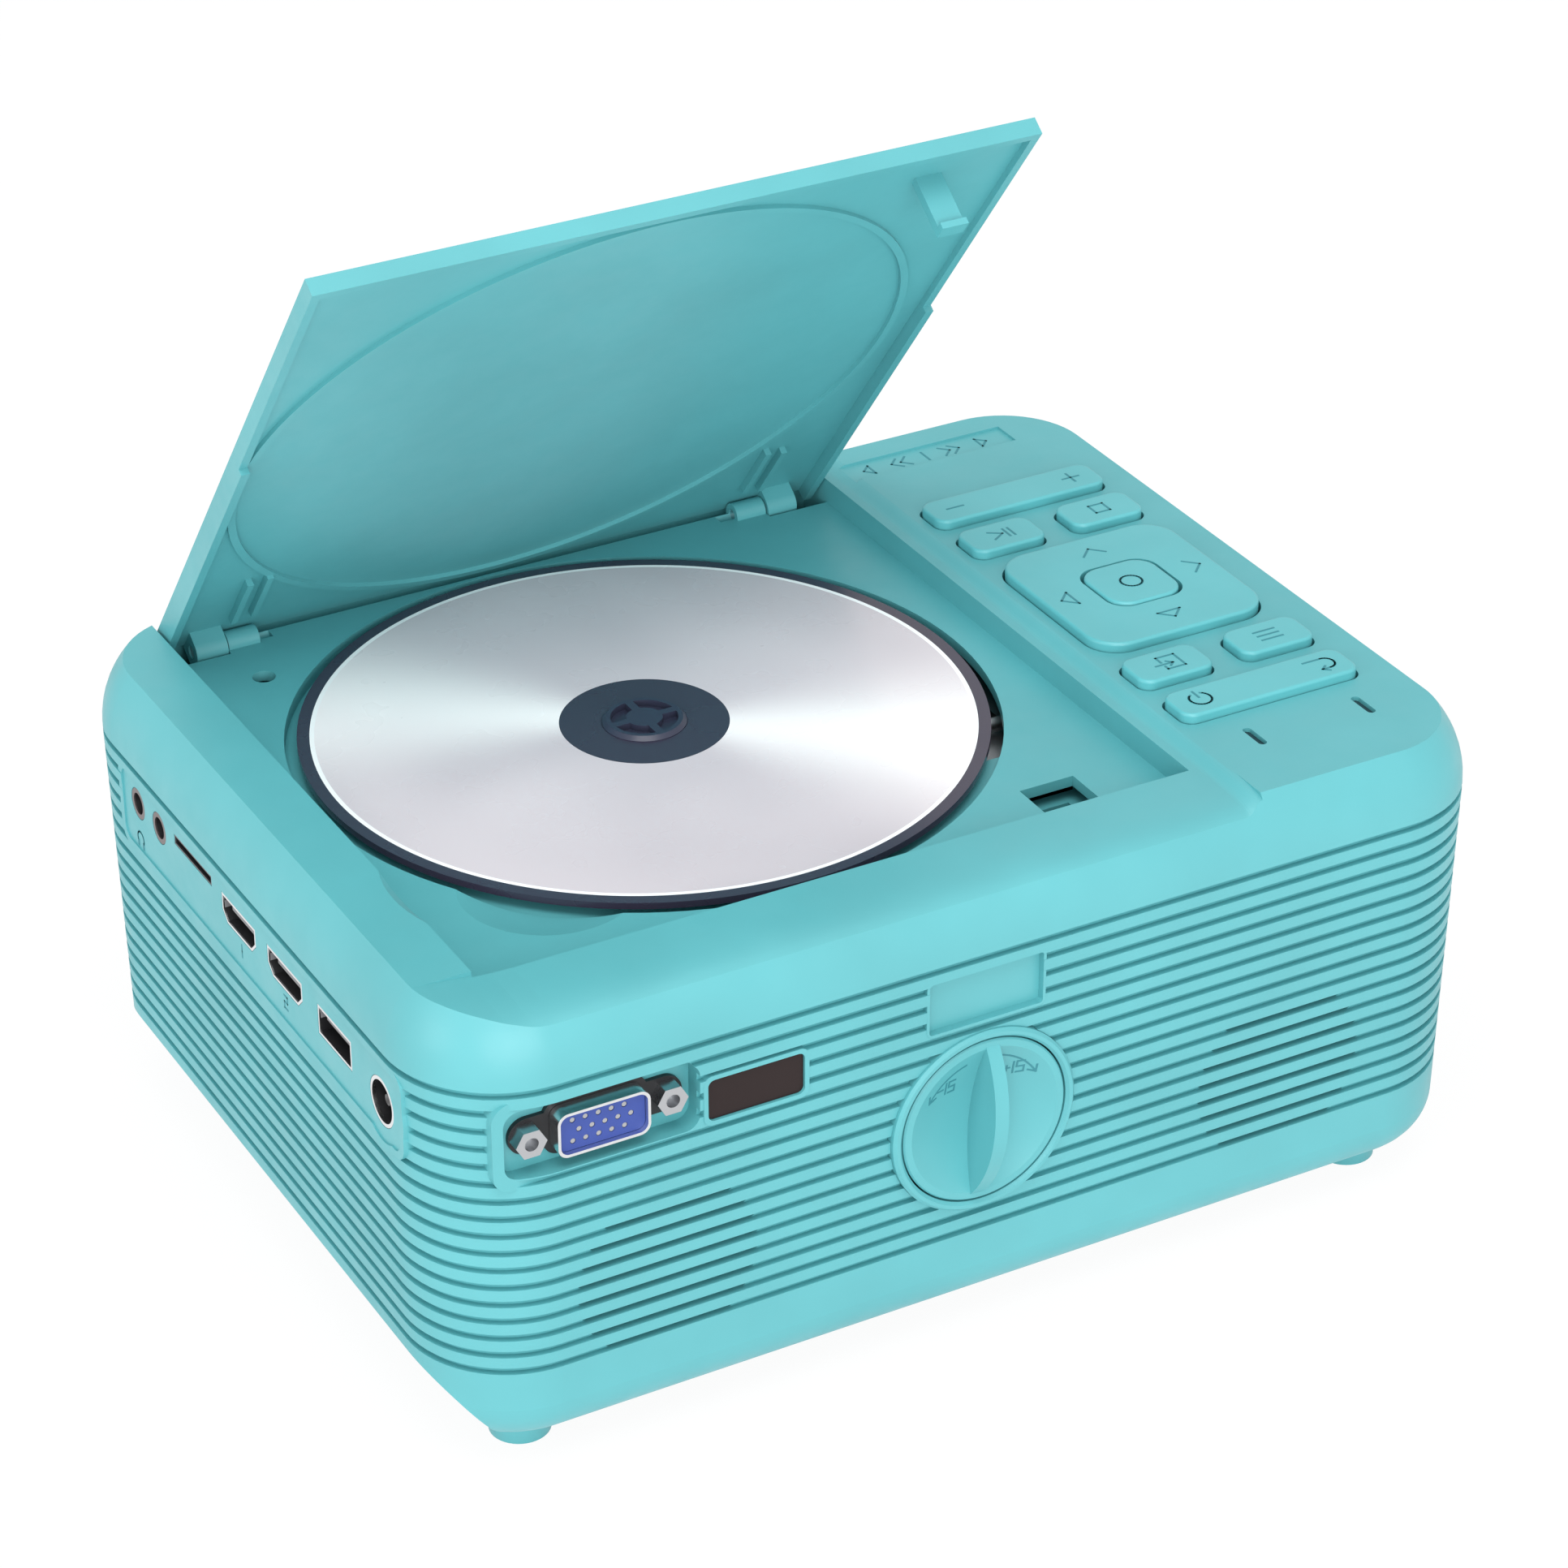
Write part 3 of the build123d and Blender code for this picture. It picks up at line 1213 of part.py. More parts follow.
# ================= keystone knob =================
knob_fit = 0.3
shaft_radius = 2.5
shaft_length = 52.0
ring_face = front_face.offset(knob_ring_proud)
ring_depth = 11.6
with BuildPart() as knob_ring:
    with BuildSketch(ring_face):
        with Locations((knob_x, knob_z)):
            Circle(knob_ring_radius - 0.05)
    extrude(amount=-ring_depth)
    with BuildSketch(ring_face):
        with Locations((knob_x, knob_z)):
            Circle(knob_radius + knob_fit)
    extrude(amount=-(ring_depth - 2.0), mode=Mode.SUBTRACT)
    with BuildSketch(ring_face):
        with Locations((knob_x, knob_z)):
            Circle(shaft_radius + 0.08)
    extrude(amount=-ring_depth - 1, mode=Mode.SUBTRACT)
    chamfer(knob_ring.edges().filter_by(GeomType.CIRCLE).sort_by(Axis.Y)[0:2], 0.5)
knob_ring.part.label = "knob_ring"
export_step(knob_ring.part, "parts/knob_ring.step")

dish_depth = 3.0
dish_radius = knob_radius - knob_rim
dish_ball = (dish_radius**2 + dish_depth**2) / (2 * dish_depth)
blade_width = 2.6
blade_half = knob_radius - 1.2
blade_lean = math.radians(5.0)
knob_top_y = front_y - knob_lift
knob_face = front_face.offset(knob_lift)
blade_plane = Plane(
    origin=(knob_x, knob_top_y, knob_z),
    x_dir=(math.sin(blade_lean), 0, math.cos(blade_lean)),
    z_dir=(math.cos(blade_lean), 0, -math.sin(blade_lean)),
)
with BuildPart() as keystone_knob:
    with BuildSketch(knob_face):
        with Locations((knob_x, knob_z)):
            Circle(knob_radius)
    extrude(amount=-knob_depth)
    chamfer(keystone_knob.edges().filter_by(GeomType.CIRCLE).sort_by(Axis.Y)[0], 0.3)
    with Locations((knob_x, knob_top_y + dish_depth - dish_ball, knob_z)):
        Sphere(dish_ball, mode=Mode.SUBTRACT)
    with BuildSketch(blade_plane):
        with BuildLine():
            ThreePointArc((-blade_half, 0), (0, blade_proud), (blade_half, 0))
            Polyline(
                (blade_half, 0),
                (blade_half, -dish_depth - 1),
                (-blade_half, -dish_depth - 1),
                (-blade_half, 0),
            )
        make_face()
    extrude(amount=blade_width / 2, both=True)
keystone_knob.part.label = "keystone_knob"
export_step(keystone_knob.part, "parts/keystone_knob.step")

knob_back_y = knob_top_y + knob_depth
with BuildPart() as keystone_shaft:
    with BuildSketch(Plane(origin=(knob_x, knob_back_y, knob_z), x_dir=(1, 0, 0), z_dir=(0, 1, 0))):
        Circle(shaft_radius)
    extrude(amount=shaft_length)
    with BuildSketch(
        Plane(origin=(knob_x, knob_back_y + shaft_length, knob_z), x_dir=(1, 0, 0), z_dir=(0, 1, 0))
    ):
        with Locations((2.0, 0)):
            Circle(7.0)
    extrude(amount=5.0)
keystone_shaft.part.label = "keystone_shaft"
export_step(keystone_shaft.part, "parts/keystone_shaft.step")

# ================= loudspeakers =================
speaker_face_y = front_y + shell_wall + draft_inset + 0.2
basket_radius = 19.0
magnet_radius = 12.0
with BuildPart() as speaker_frames:
    for centre in speaker_x:
        with BuildSketch(Plane(origin=(centre, speaker_face_y, speaker_z))):
            with BuildLine():
                Polyline(
                    (15.2, 0),
                    (basket_radius, 0),
                    (basket_radius, 1.6),
                    (magnet_radius + 1, 8.0),
                    (magnet_radius, 8.0),
                    (magnet_radius, 16.0),
                    (0, 16.0),
                    (0, 9.0),
                    (magnet_radius - 2, 9.0),
                    (15.2, 2.2),
                    (15.2, 0),
                )
            make_face()
        revolve(axis=Axis((centre, 0, speaker_z), (0, 1, 0)))
speaker_frames.part.label = "speaker_frames"
export_step(speaker_frames.part, "parts/speaker_frames.step")

with BuildPart() as speaker_cones:
    for centre in speaker_x:
        with BuildSketch(Plane(origin=(centre, speaker_face_y, speaker_z))):
            with BuildLine():
                Polyline(
                    (0, 3.0),
                    (4.5, 5.0),
                    (14.9, 0.4),
                    (14.9, 1.2),
                    (5.0, 6.2),
                    (0, 6.2),
                    (0, 3.0),
                )
            make_face()
        revolve(axis=Axis((centre, 0, speaker_z), (0, 1, 0)))
speaker_cones.part.label = "speaker_cones"
export_step(speaker_cones.part, "parts/speaker_cones.step")

# ================= light engine and lens =================
engine_half_x = 22.0
engine_half_z = 19.0
engine_front_y = -34.0
engine_back_y = 26.0
engine_skin = 2.0
engine_plane = Plane(origin=(lens_x, engine_front_y, lens_z), x_dir=(1, 0, 0), z_dir=(0, 1, 0))
with BuildPart() as light_engine:
    with BuildSketch(engine_plane):
        Rectangle(2 * engine_half_x, 2 * engine_half_z)
        Rectangle(
            2 * (engine_half_x - engine_skin), 2 * (engine_half_z - engine_skin), mode=Mode.SUBTRACT
        )
    extrude(amount=engine_back_y - engine_front_y)
    with BuildSketch(Plane.XY.offset(bottom_z + shell_floor)):
        with Locations(
            (lens_x - 16, engine_front_y + 8),
            (lens_x + 16, engine_front_y + 8),
            (lens_x - 16, engine_back_y - 8),
            (lens_x + 16, engine_back_y - 8),
        ):
            Circle(3.5)
    extrude(amount=lens_z - engine_half_z - bottom_z - shell_floor)
light_engine.part.label = "light_engine"
export_step(light_engine.part, "parts/light_engine.step")

with BuildPart() as led_lamp:
    with BuildSketch(engine_plane):
        Rectangle(2 * engine_half_x, 2 * engine_half_z)
    extrude(amount=-1.5)
    with BuildSketch(engine_plane):
        Rectangle(11, 11)
    extrude(amount=1.2)
led_lamp.part.label = "led_lamp"
export_step(led_lamp.part, "parts/led_lamp.step")

fin_count = 9
fin_thickness = 1.2
fin_pitch = (2 * engine_half_x - fin_thickness) / (fin_count - 1)
with BuildPart() as heat_sink:
    with BuildSketch(engine_plane.offset(-1.5)):
        Rectangle(2 * engine_half_x, 2 * engine_half_z)
    extrude(amount=-2.5)
    with BuildSketch(engine_plane.offset(-4.0)):
        with GridLocations(fin_pitch, 1, fin_count, 1):
            Rectangle(fin_thickness, 2 * engine_half_z)
    extrude(amount=-9.0)
heat_sink.part.label = "heat_sink"
export_step(heat_sink.part, "parts/heat_sink.step")

panel_y = 0.0
panel_plane = Plane(origin=(lens_x, panel_y, lens_z), x_dir=(1, 0, 0), z_dir=(0, 1, 0))
with BuildPart() as panel_frame:
    with BuildSketch(panel_plane):
        Rectangle(2 * (engine_half_x - engine_skin) - 1.2, 2 * (engine_half_z - engine_skin) - 3.0)
        Rectangle(32, 24, mode=Mode.SUBTRACT)
    extrude(amount=1.2, both=True)
panel_frame.part.label = "panel_frame"
export_step(panel_frame.part, "parts/panel_frame.step")

with BuildPart() as picture_panel:
    with BuildSketch(panel_plane):
        Rectangle(32, 24)
    extrude(amount=0.8, both=True)
picture_panel.part.label = "picture_panel"
export_step(picture_panel.part, "parts/picture_panel.step")

tube_radius = lens_radius + 1.1
tube_plane = Plane(origin=(lens_x, engine_back_y, lens_z), x_dir=(1, 0, 0), z_dir=(0, 1, 0))
tube_length = back_y - 2.0 - engine_back_y
cell_fit = 0.08
with BuildPart() as lens_tube:
    with BuildSketch(tube_plane):
        Rectangle(2 * engine_half_x, 2 * engine_half_z)
        Circle(lens_radius - 0.4, mode=Mode.SUBTRACT)
    extrude(amount=2.0)
    with BuildSketch(tube_plane.offset(2.0)):
        Circle(tube_radius)
        Circle(lens_radius - 0.4, mode=Mode.SUBTRACT)
    extrude(amount=tube_length - 2.0)
lens_tube.part.label = "lens_tube"
export_step(lens_tube.part, "parts/lens_tube.step")

cell_length = 28.0
cell_radius = lens_radius - 0.4 - cell_fit
glass_radius = cell_radius - 1.8
cell_plane = tube_plane.offset(tube_length - cell_length - 3.5)
with BuildPart() as lens_cell:
    with BuildSketch(cell_plane):
        Circle(cell_radius)
        Circle(glass_radius, mode=Mode.SUBTRACT)
    extrude(amount=cell_length)
lens_cell.part.label = "lens_cell"
export_step(lens_cell.part, "parts/lens_cell.step")

cell_y = engine_back_y + tube_length - cell_length - 3.5
glass_crown = 3.0
glass_curve = (glass_radius**2 + (glass_crown - 1.0) ** 2) / (2 * (glass_crown - 1.0))
with BuildPart() as lens_glasses:
    for place in (5.0, cell_length - 7.0):
        with BuildSketch(Plane(origin=(lens_x, cell_y + place, lens_z))):
            with BuildLine():
                RadiusArc((0, glass_crown), (glass_radius, 1.0), glass_curve)
                Line((glass_radius, 1.0), (glass_radius, -1.0))
                RadiusArc((glass_radius, -1.0), (0, -glass_crown), glass_curve)
                Line((0, -glass_crown), (0, glass_crown))
            make_face()
        revolve(axis=Axis((lens_x, 0, lens_z), (0, 1, 0)))
lens_glasses.part.label = "lens_glasses"
export_step(lens_glasses.part, "parts/lens_glasses.step")

focus_outer = lens_port_radius - 1.2
focus_ribs = 36
focus_low = back_y - lens_dish_depth + 0.4
focus_plane = Plane(origin=(lens_x, focus_low, lens_z), x_dir=(1, 0, 0), z_dir=(0, 1, 0))
with BuildPart() as focus_ring:
    with BuildSketch(focus_plane):
        Circle(focus_outer)
        Circle(tube_radius + 0.08, mode=Mode.SUBTRACT)
        with PolarLocations(focus_outer, focus_ribs):
            Circle(0.8, mode=Mode.SUBTRACT)
    extrude(amount=lens_dish_depth - 0.4 + knob_lift + blade_proud)
focus_ring.part.label = "focus_ring"
export_step(focus_ring.part, "parts/focus_ring.step")

# ================= fan =================
fan_thickness = 10.0
fan_right_x = right_x - shell_wall - draft_inset - 0.4
fan_half = 25.0
blade_count = 7
blade_gap = 0.6
fan_plane = Plane(origin=(fan_right_x, fan_y, fan_z), x_dir=(0, 1, 0), z_dir=(1, 0, 0))
with BuildPart() as fan_frame:
    with BuildSketch(fan_plane):
        RectangleRounded(2 * fan_half, 2 * fan_half, 3)
        Circle(fan_radius - 0.4, mode=Mode.SUBTRACT)
    extrude(amount=-fan_thickness)
    with BuildSketch(fan_plane.offset(-fan_thickness)):
        Circle(10.0)
        with PolarLocations(fan_radius / 2, 4):
            Rectangle(fan_radius, 2.4)
    extrude(amount=1.4)
    with BuildSketch(fan_plane.offset(-fan_thickness)):
        Circle(1.2 + 0.05)
    extrude(amount=2, mode=Mode.SUBTRACT)
fan_frame.part.label = "fan_frame"
export_step(fan_frame.part, "parts/fan_frame.step")

with BuildPart() as fan_rotor:
    with BuildSketch(fan_plane.offset(-1.0)):
        Circle(9.0)
        with PolarLocations((9.0 + fan_radius - 0.4 - blade_gap) / 2 - 0.3, blade_count):
            Rectangle(fan_radius - 9.0 - blade_gap, 6.0, rotation=18)
    extrude(amount=-(fan_thickness - 3.4))
    with BuildSketch(fan_plane.offset(-1.0)):
        Circle(1.2)
    extrude(amount=-(fan_thickness - 1.4))
fan_rotor.part.label = "fan_rotor"
export_step(fan_rotor.part, "parts/fan_rotor.step")

# ================= case screws =================
head_top_z = bottom_z + screw_head_height + 0.4
with BuildPart() as case_screws:
    with BuildSketch(Plane.XY.offset(head_top_z)):
        with Locations(
            (screw_x, screw_y), (-screw_x, screw_y), (screw_x, -screw_y), (-screw_x, -screw_y)
        ):
            Circle(screw_head_diameter / 2)
    extrude(amount=-screw_head_height)
    with BuildSketch(Plane.XY.offset(head_top_z)):
        with Locations(
            (screw_x, screw_y), (-screw_x, screw_y), (screw_x, -screw_y), (-screw_x, -screw_y)
        ):
            Circle(screw_diameter / 2)
    extrude(amount=screw_length)
    with BuildSketch(Plane.XY.offset(head_top_z - screw_head_height)):
        with Locations(
            (screw_x, screw_y), (-screw_x, screw_y), (screw_x, -screw_y), (-screw_x, -screw_y)
        ):
            Rectangle(3.4, 0.8)
            Rectangle(0.8, 3.4)
    extrude(amount=1.2, mode=Mode.SUBTRACT)
case_screws.part.label = "case_screws"
export_step(case_screws.part, "parts/case_screws.step")
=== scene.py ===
"""Looks of the disc projector: plastics, printed marks, disc, glass and studio."""

import math

import bmesh
import bpy
from bpy.props import FloatProperty, FloatVectorProperty, IntProperty, PointerProperty
from mathutils import Matrix, Vector


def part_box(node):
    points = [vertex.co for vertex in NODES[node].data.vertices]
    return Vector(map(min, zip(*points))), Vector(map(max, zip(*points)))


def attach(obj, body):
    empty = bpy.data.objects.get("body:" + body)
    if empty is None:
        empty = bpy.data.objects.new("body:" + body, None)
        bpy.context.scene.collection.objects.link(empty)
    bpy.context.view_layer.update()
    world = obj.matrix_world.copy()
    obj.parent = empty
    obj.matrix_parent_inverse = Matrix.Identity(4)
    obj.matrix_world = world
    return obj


bl_info = {
    "name": "Disc projector dressing",
    "version": (1, 0, 0),
    "blender": (4, 5, 0),
    "location": "View3D > Sidebar > Projector",
    "description": "Materials, marks, camera and studio for a projector with a disc player",
    "category": "Object",
}

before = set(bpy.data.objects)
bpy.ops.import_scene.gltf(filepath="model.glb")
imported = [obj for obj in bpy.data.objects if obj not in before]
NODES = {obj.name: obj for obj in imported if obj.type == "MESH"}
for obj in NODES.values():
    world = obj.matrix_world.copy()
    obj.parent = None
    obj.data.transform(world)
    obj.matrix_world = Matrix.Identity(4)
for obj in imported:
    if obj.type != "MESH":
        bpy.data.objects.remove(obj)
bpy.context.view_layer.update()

# places on the object, in metres
STRIP_CENTRE = (0.0675, 0.0636, 0.08796)
STRIP_CHEVRONS = ((-0.0125, -1), (-0.0065, -1), (-0.0045, -1), (0.0045, 1), (0.0065, 1), (0.0125, 1))
STRIP_TRIANGLES_FROM = 0.01
PLATE_DEPTH = 0.0008
INLET_PLATE_DEPTH = 0.0012
SHELL_RIM_DEPTH = 0.0033
INSERT_FACE_DEPTH = 0.0014
TONGUE_HALF = 0.0007
VIDEO_TONGUE_RISE = 0.0003
USB_TONGUE_RISE = 0.0009
MARK_ROOT = 0.00003
DIAL_ARROW_RADIUS = 0.0118
DIAL_NUMERAL_SPREAD = 0.0060
DIAL_NUMERAL_SHIFT = 0.0010
DIAL_NUMERAL_BASE = 0.0064
VIDEO_OPENING_WIDTH = 0.0142

# camera and studio
CAMERA_PLACE = (-0.35017, -0.64013, 0.49484)
CAMERA_RIGHT = (0.8765, -0.4814, -0.0040)
CAMERA_AHEAD = (0.4126, 0.7555, -0.5089)
CAMERA_SHIFT = (0.00759, 0.01381)
SENSOR_WIDTH = 36.0
FLOOR_SIZE = 12.0
FLOOR_GLOW = 0.94
SOFTBOXES = (
    ("front_softbox", (-0.55, -1.7, 0.55), (1.5, 0.9), 1.0),
    ("left_softbox", (-1.7, -0.2, 0.5), (0.9, 0.9), 0.36),
    ("top_softbox", (-0.30, -0.60, 1.65), (1.1, 0.9), 0.80),
)
SOFTBOX_AIM = (0.0, 0.0, 0.05)


# ---------------------------------------------------------------- properties
def colour_prop(label, text, value):
    return FloatVectorProperty(
        name=label, description=text, subtype="COLOR", size=3, min=0.0, max=1.0, default=value
    )


def length_prop(label, text, value):
    return FloatProperty(
        name=label, description=text, default=value, min=0.0, unit="LENGTH", precision=5
    )


class PlasticSettings(bpy.types.PropertyGroup):
    housing: colour_prop("Housing", "Colour of the moulded housing", (0.092, 0.366, 0.397))
    keys: colour_prop("Keys", "Colour of the keys", (0.098, 0.405, 0.438))
    marks: colour_prop("Marks", "Colour of the recessed marks", (0.028, 0.205, 0.240))
    roughness: FloatProperty(
        name="Roughness", description="Roughness of the moulded skin", default=0.42,
        min=0.0, max=1.0
    )
    grain: length_prop("Grain", "Width of one grain of the moulded skin", 0.00035)


class DiscSettings(bpy.types.PropertyGroup):
    face: colour_prop("Face", "Colour of the disc's printed side", (0.72, 0.665, 0.685))
    rim: colour_prop("Rim", "Colour of the bare rim and hub rings", (0.036, 0.028, 0.052))
    face_radius: length_prop("Face radius", "Outer radius of the silver print", 0.0578)
    hub_radius: length_prop("Hub radius", "Inner radius of the silver print", 0.0148)
    # painted reflection: how many bright sectors are painted on the disc face in place of the
    # light's streaks on it
    streaks: IntProperty(name="Streaks", description="Bright sectors of the face", default=2, min=1)


class ContactSettings(bpy.types.PropertyGroup):
    pitch: length_prop("Pitch", "Distance between contacts in a row", 0.00229)
    row_pitch: length_prop("Row pitch", "Distance between the rows of contacts", 0.00198)
    stagger: length_prop("Stagger", "Shift of a row to one side", 0.00057)
    radius: length_prop("Radius", "Radius of a contact", 0.00042)
    length: length_prop("Length", "Length of a contact that shows", 0.0008)


class MarkSettings(bpy.types.PropertyGroup):
    stroke: length_prop("Stroke", "Width of a line in a mark", 0.00042)
    lift: length_prop("Lift", "How far a mark stands above its surface", 0.00004)
    glyph: length_prop("Key glyph", "Height of the signs on the keys", 0.0042)
    numeral: length_prop("Numeral", "Height of the numerals on the dial", 0.0024)
    knob_depth: length_prop("Knob depth", "Depth of the dial from its rim to its back", 0.0073)
    dish_depth: length_prop("Dish depth", "Depth of the dial's hollow face", 0.0030)
    dish_radius: length_prop("Dish radius", "Radius of the dial's hollow face", 0.0140)


class StudioSettings(bpy.types.PropertyGroup):
    focal: FloatProperty(
        name="Focal length", description="Lens on a 36 mm sensor", default=110.66, min=1.0
    )
    key_power: FloatProperty(
        name="Key light", description="Power of the large front light", default=19.5, min=0.0
    )
    fill: FloatProperty(
        name="Fill", description="Strength of the light from all round", default=0.80, min=0.0
    )


# ----------------------------------------------------------------- materials
def new_material(name):
    material = bpy.data.materials.new(name)
    material.use_nodes = True
    tree = material.node_tree
    shader = tree.nodes["Principled BSDF"]
    place = tree.nodes.new("ShaderNodeTexCoord")
    return material, tree, shader, place.outputs["Object"]


def noise(tree, where, size, detail=2.0, stretch=None):
    """A noise with one cell about size metres wide."""
    texture = tree.nodes.new("ShaderNodeTexNoise")
    texture.inputs["Scale"].default_value = 1.0 / size
    texture.inputs["Detail"].default_value = detail
    if stretch is not None:
        mapping = tree.nodes.new("ShaderNodeMapping")
        mapping.inputs["Scale"].default_value = stretch
        tree.links.new(where, mapping.inputs["Vector"])
        where = mapping.outputs["Vector"]
    tree.links.new(where, texture.inputs["Vector"])
    return texture.outputs["Fac"]


def spread(tree, value, low, high):
    """Maps the middle of a noise to a range."""
    node = tree.nodes.new("ShaderNodeMapRange")
    node.inputs["From Min"].default_value = 0.3
    node.inputs["From Max"].default_value = 0.7
    node.inputs["To Min"].default_value = low
    node.inputs["To Max"].default_value = high
    tree.links.new(value, node.inputs["Value"])
    return node.outputs["Result"]


def blend_colours(tree, factor, first, second):
    node = tree.nodes.new("ShaderNodeMix")
    node.data_type = "RGBA"
    tree.links.new(factor, node.inputs["Factor"])
    for socket, value in ((node.inputs["A"], first), (node.inputs["B"], second)):
        if isinstance(value, bpy.types.NodeSocket):
            tree.links.new(value, socket)
        else:
            socket.default_value = (*value, 1.0)
    return node.outputs["Result"]


def finish_material(name, colour, roughness, grain=0.0004, relief=0.00001, tint=0.05, metal=0.0,
                    stretch=None, wear=0.06, coat=0.0, sheen_level=0.5):
    """Colour drift, uneven gloss and a fine relief, over one base colour."""
    material, tree, shader, where = new_material(name)
    drift = noise(tree, where, 0.03, 3.0)
    dark = tuple(max(0.0, c * (1.0 - tint)) for c in colour)
    light = tuple(min(1.0, c * (1.0 + tint)) for c in colour)
    tree.links.new(blend_colours(tree, spread(tree, drift, 0.0, 1.0), dark, light),
                   shader.inputs["Base Color"])
    fine = noise(tree, where, grain, 2.0, stretch)
    tree.links.new(spread(tree, noise(tree, where, 0.006, 4.0), roughness - wear, roughness + wear),
                   shader.inputs["Roughness"])
    bump = tree.nodes.new("ShaderNodeBump")
    bump.inputs["Distance"].default_value = relief
    bump.inputs["Strength"].default_value = 0.6
    tree.links.new(fine, bump.inputs["Height"])
    tree.links.new(bump.outputs["Normal"], shader.inputs["Normal"])
    shader.inputs["Metallic"].default_value = metal
    shader.inputs["Specular IOR Level"].default_value = sheen_level
    shader.inputs["Coat Weight"].default_value = coat
    return material


def faced_material(name, axis, face, front, back, roughness=(0.22, 0.45), metal=(1.0, 0.0),
                   band=None):
    """One finish in front of a plane square to an axis and another behind it.

    The band is a height, half a width and a colour, for a tongue behind the plane.
    """
    material, tree, shader, where = new_material(name)
    parts = tree.nodes.new("ShaderNodeSeparateXYZ")
    tree.links.new(where, parts.inputs["Vector"])
    behind = math_node(tree, "GREATER_THAN", parts.outputs[axis], face)
    mottled = noise(tree, where, 0.002, 3.0)
    near = blend_colours(tree, mottled, front, tuple(c * 0.86 for c in front))
    far = blend_colours(tree, mottled, back, tuple(c * 0.80 for c in back))
    if band is not None:
        tongue = math_node(tree, "COMPARE", parts.outputs["Z"], band[0])
        tongue.node.inputs[2].default_value = band[1]
        far = blend_colours(tree, tongue, far, band[2])
    tree.links.new(blend_colours(tree, behind, near, far), shader.inputs["Base Color"])
    for socket, pair in (("Roughness", roughness), ("Metallic", metal)):
        step = tree.nodes.new("ShaderNodeMapRange")
        step.inputs["To Min"].default_value = pair[0]
        step.inputs["To Max"].default_value = pair[1]
        tree.links.new(behind, step.inputs["Value"])
        tree.links.new(step.outputs["Result"], shader.inputs[socket])
    bump = tree.nodes.new("ShaderNodeBump")
    bump.inputs["Distance"].default_value = 0.000008
    tree.links.new(noise(tree, where, 0.0004, 2.0), bump.inputs["Height"])
    tree.links.new(bump.outputs["Normal"], shader.inputs["Normal"])
    return material


def glass_material(name, colour, roughness=0.03):
    """Clear glass with a faint coating tint and a few specks of dust."""
    material, tree, shader, where = new_material(name)
    shader.inputs["Transmission Weight"].default_value = 1.0
    shader.inputs["IOR"].default_value = 1.5
    dust = noise(tree, where, 0.0008, 5.0)
    tree.links.new(spread(tree, dust, roughness, roughness + 0.05), shader.inputs["Roughness"])
    tree.links.new(blend_colours(tree, noise(tree, where, 0.01), colour,
                                 tuple(c * 0.93 for c in colour)), shader.inputs["Base Color"])
    return material


def board_material():
    """Green solder mask with tracks and pads in a fine grid."""
    material, tree, shader, where = new_material("board_solder_mask")
    cells = tree.nodes.new("ShaderNodeTexBrick")
    cells.inputs["Scale"].default_value = 220.0
    cells.inputs["Mortar Size"].default_value = 0.02
    cells.inputs["Color1"].default_value = (0.010, 0.125, 0.050, 1.0)
    cells.inputs["Color2"].default_value = (0.014, 0.150, 0.060, 1.0)
    cells.inputs["Mortar"].default_value = (0.030, 0.240, 0.110, 1.0)
    tree.links.new(where, cells.inputs["Vector"])
    tree.links.new(cells.outputs["Color"], shader.inputs["Base Color"])
    tree.links.new(spread(tree, noise(tree, where, 0.004), 0.25, 0.45), shader.inputs["Roughness"])
    return material


def math_node(tree, operation, first, second=None):
    node = tree.nodes.new("ShaderNodeMath")
    node.operation = operation
    for socket, value in zip(node.inputs, (first, second)):
        if isinstance(value, bpy.types.NodeSocket):
            tree.links.new(value, socket)
        elif value is not None:
            socket.default_value = value
    return node.outputs["Value"]


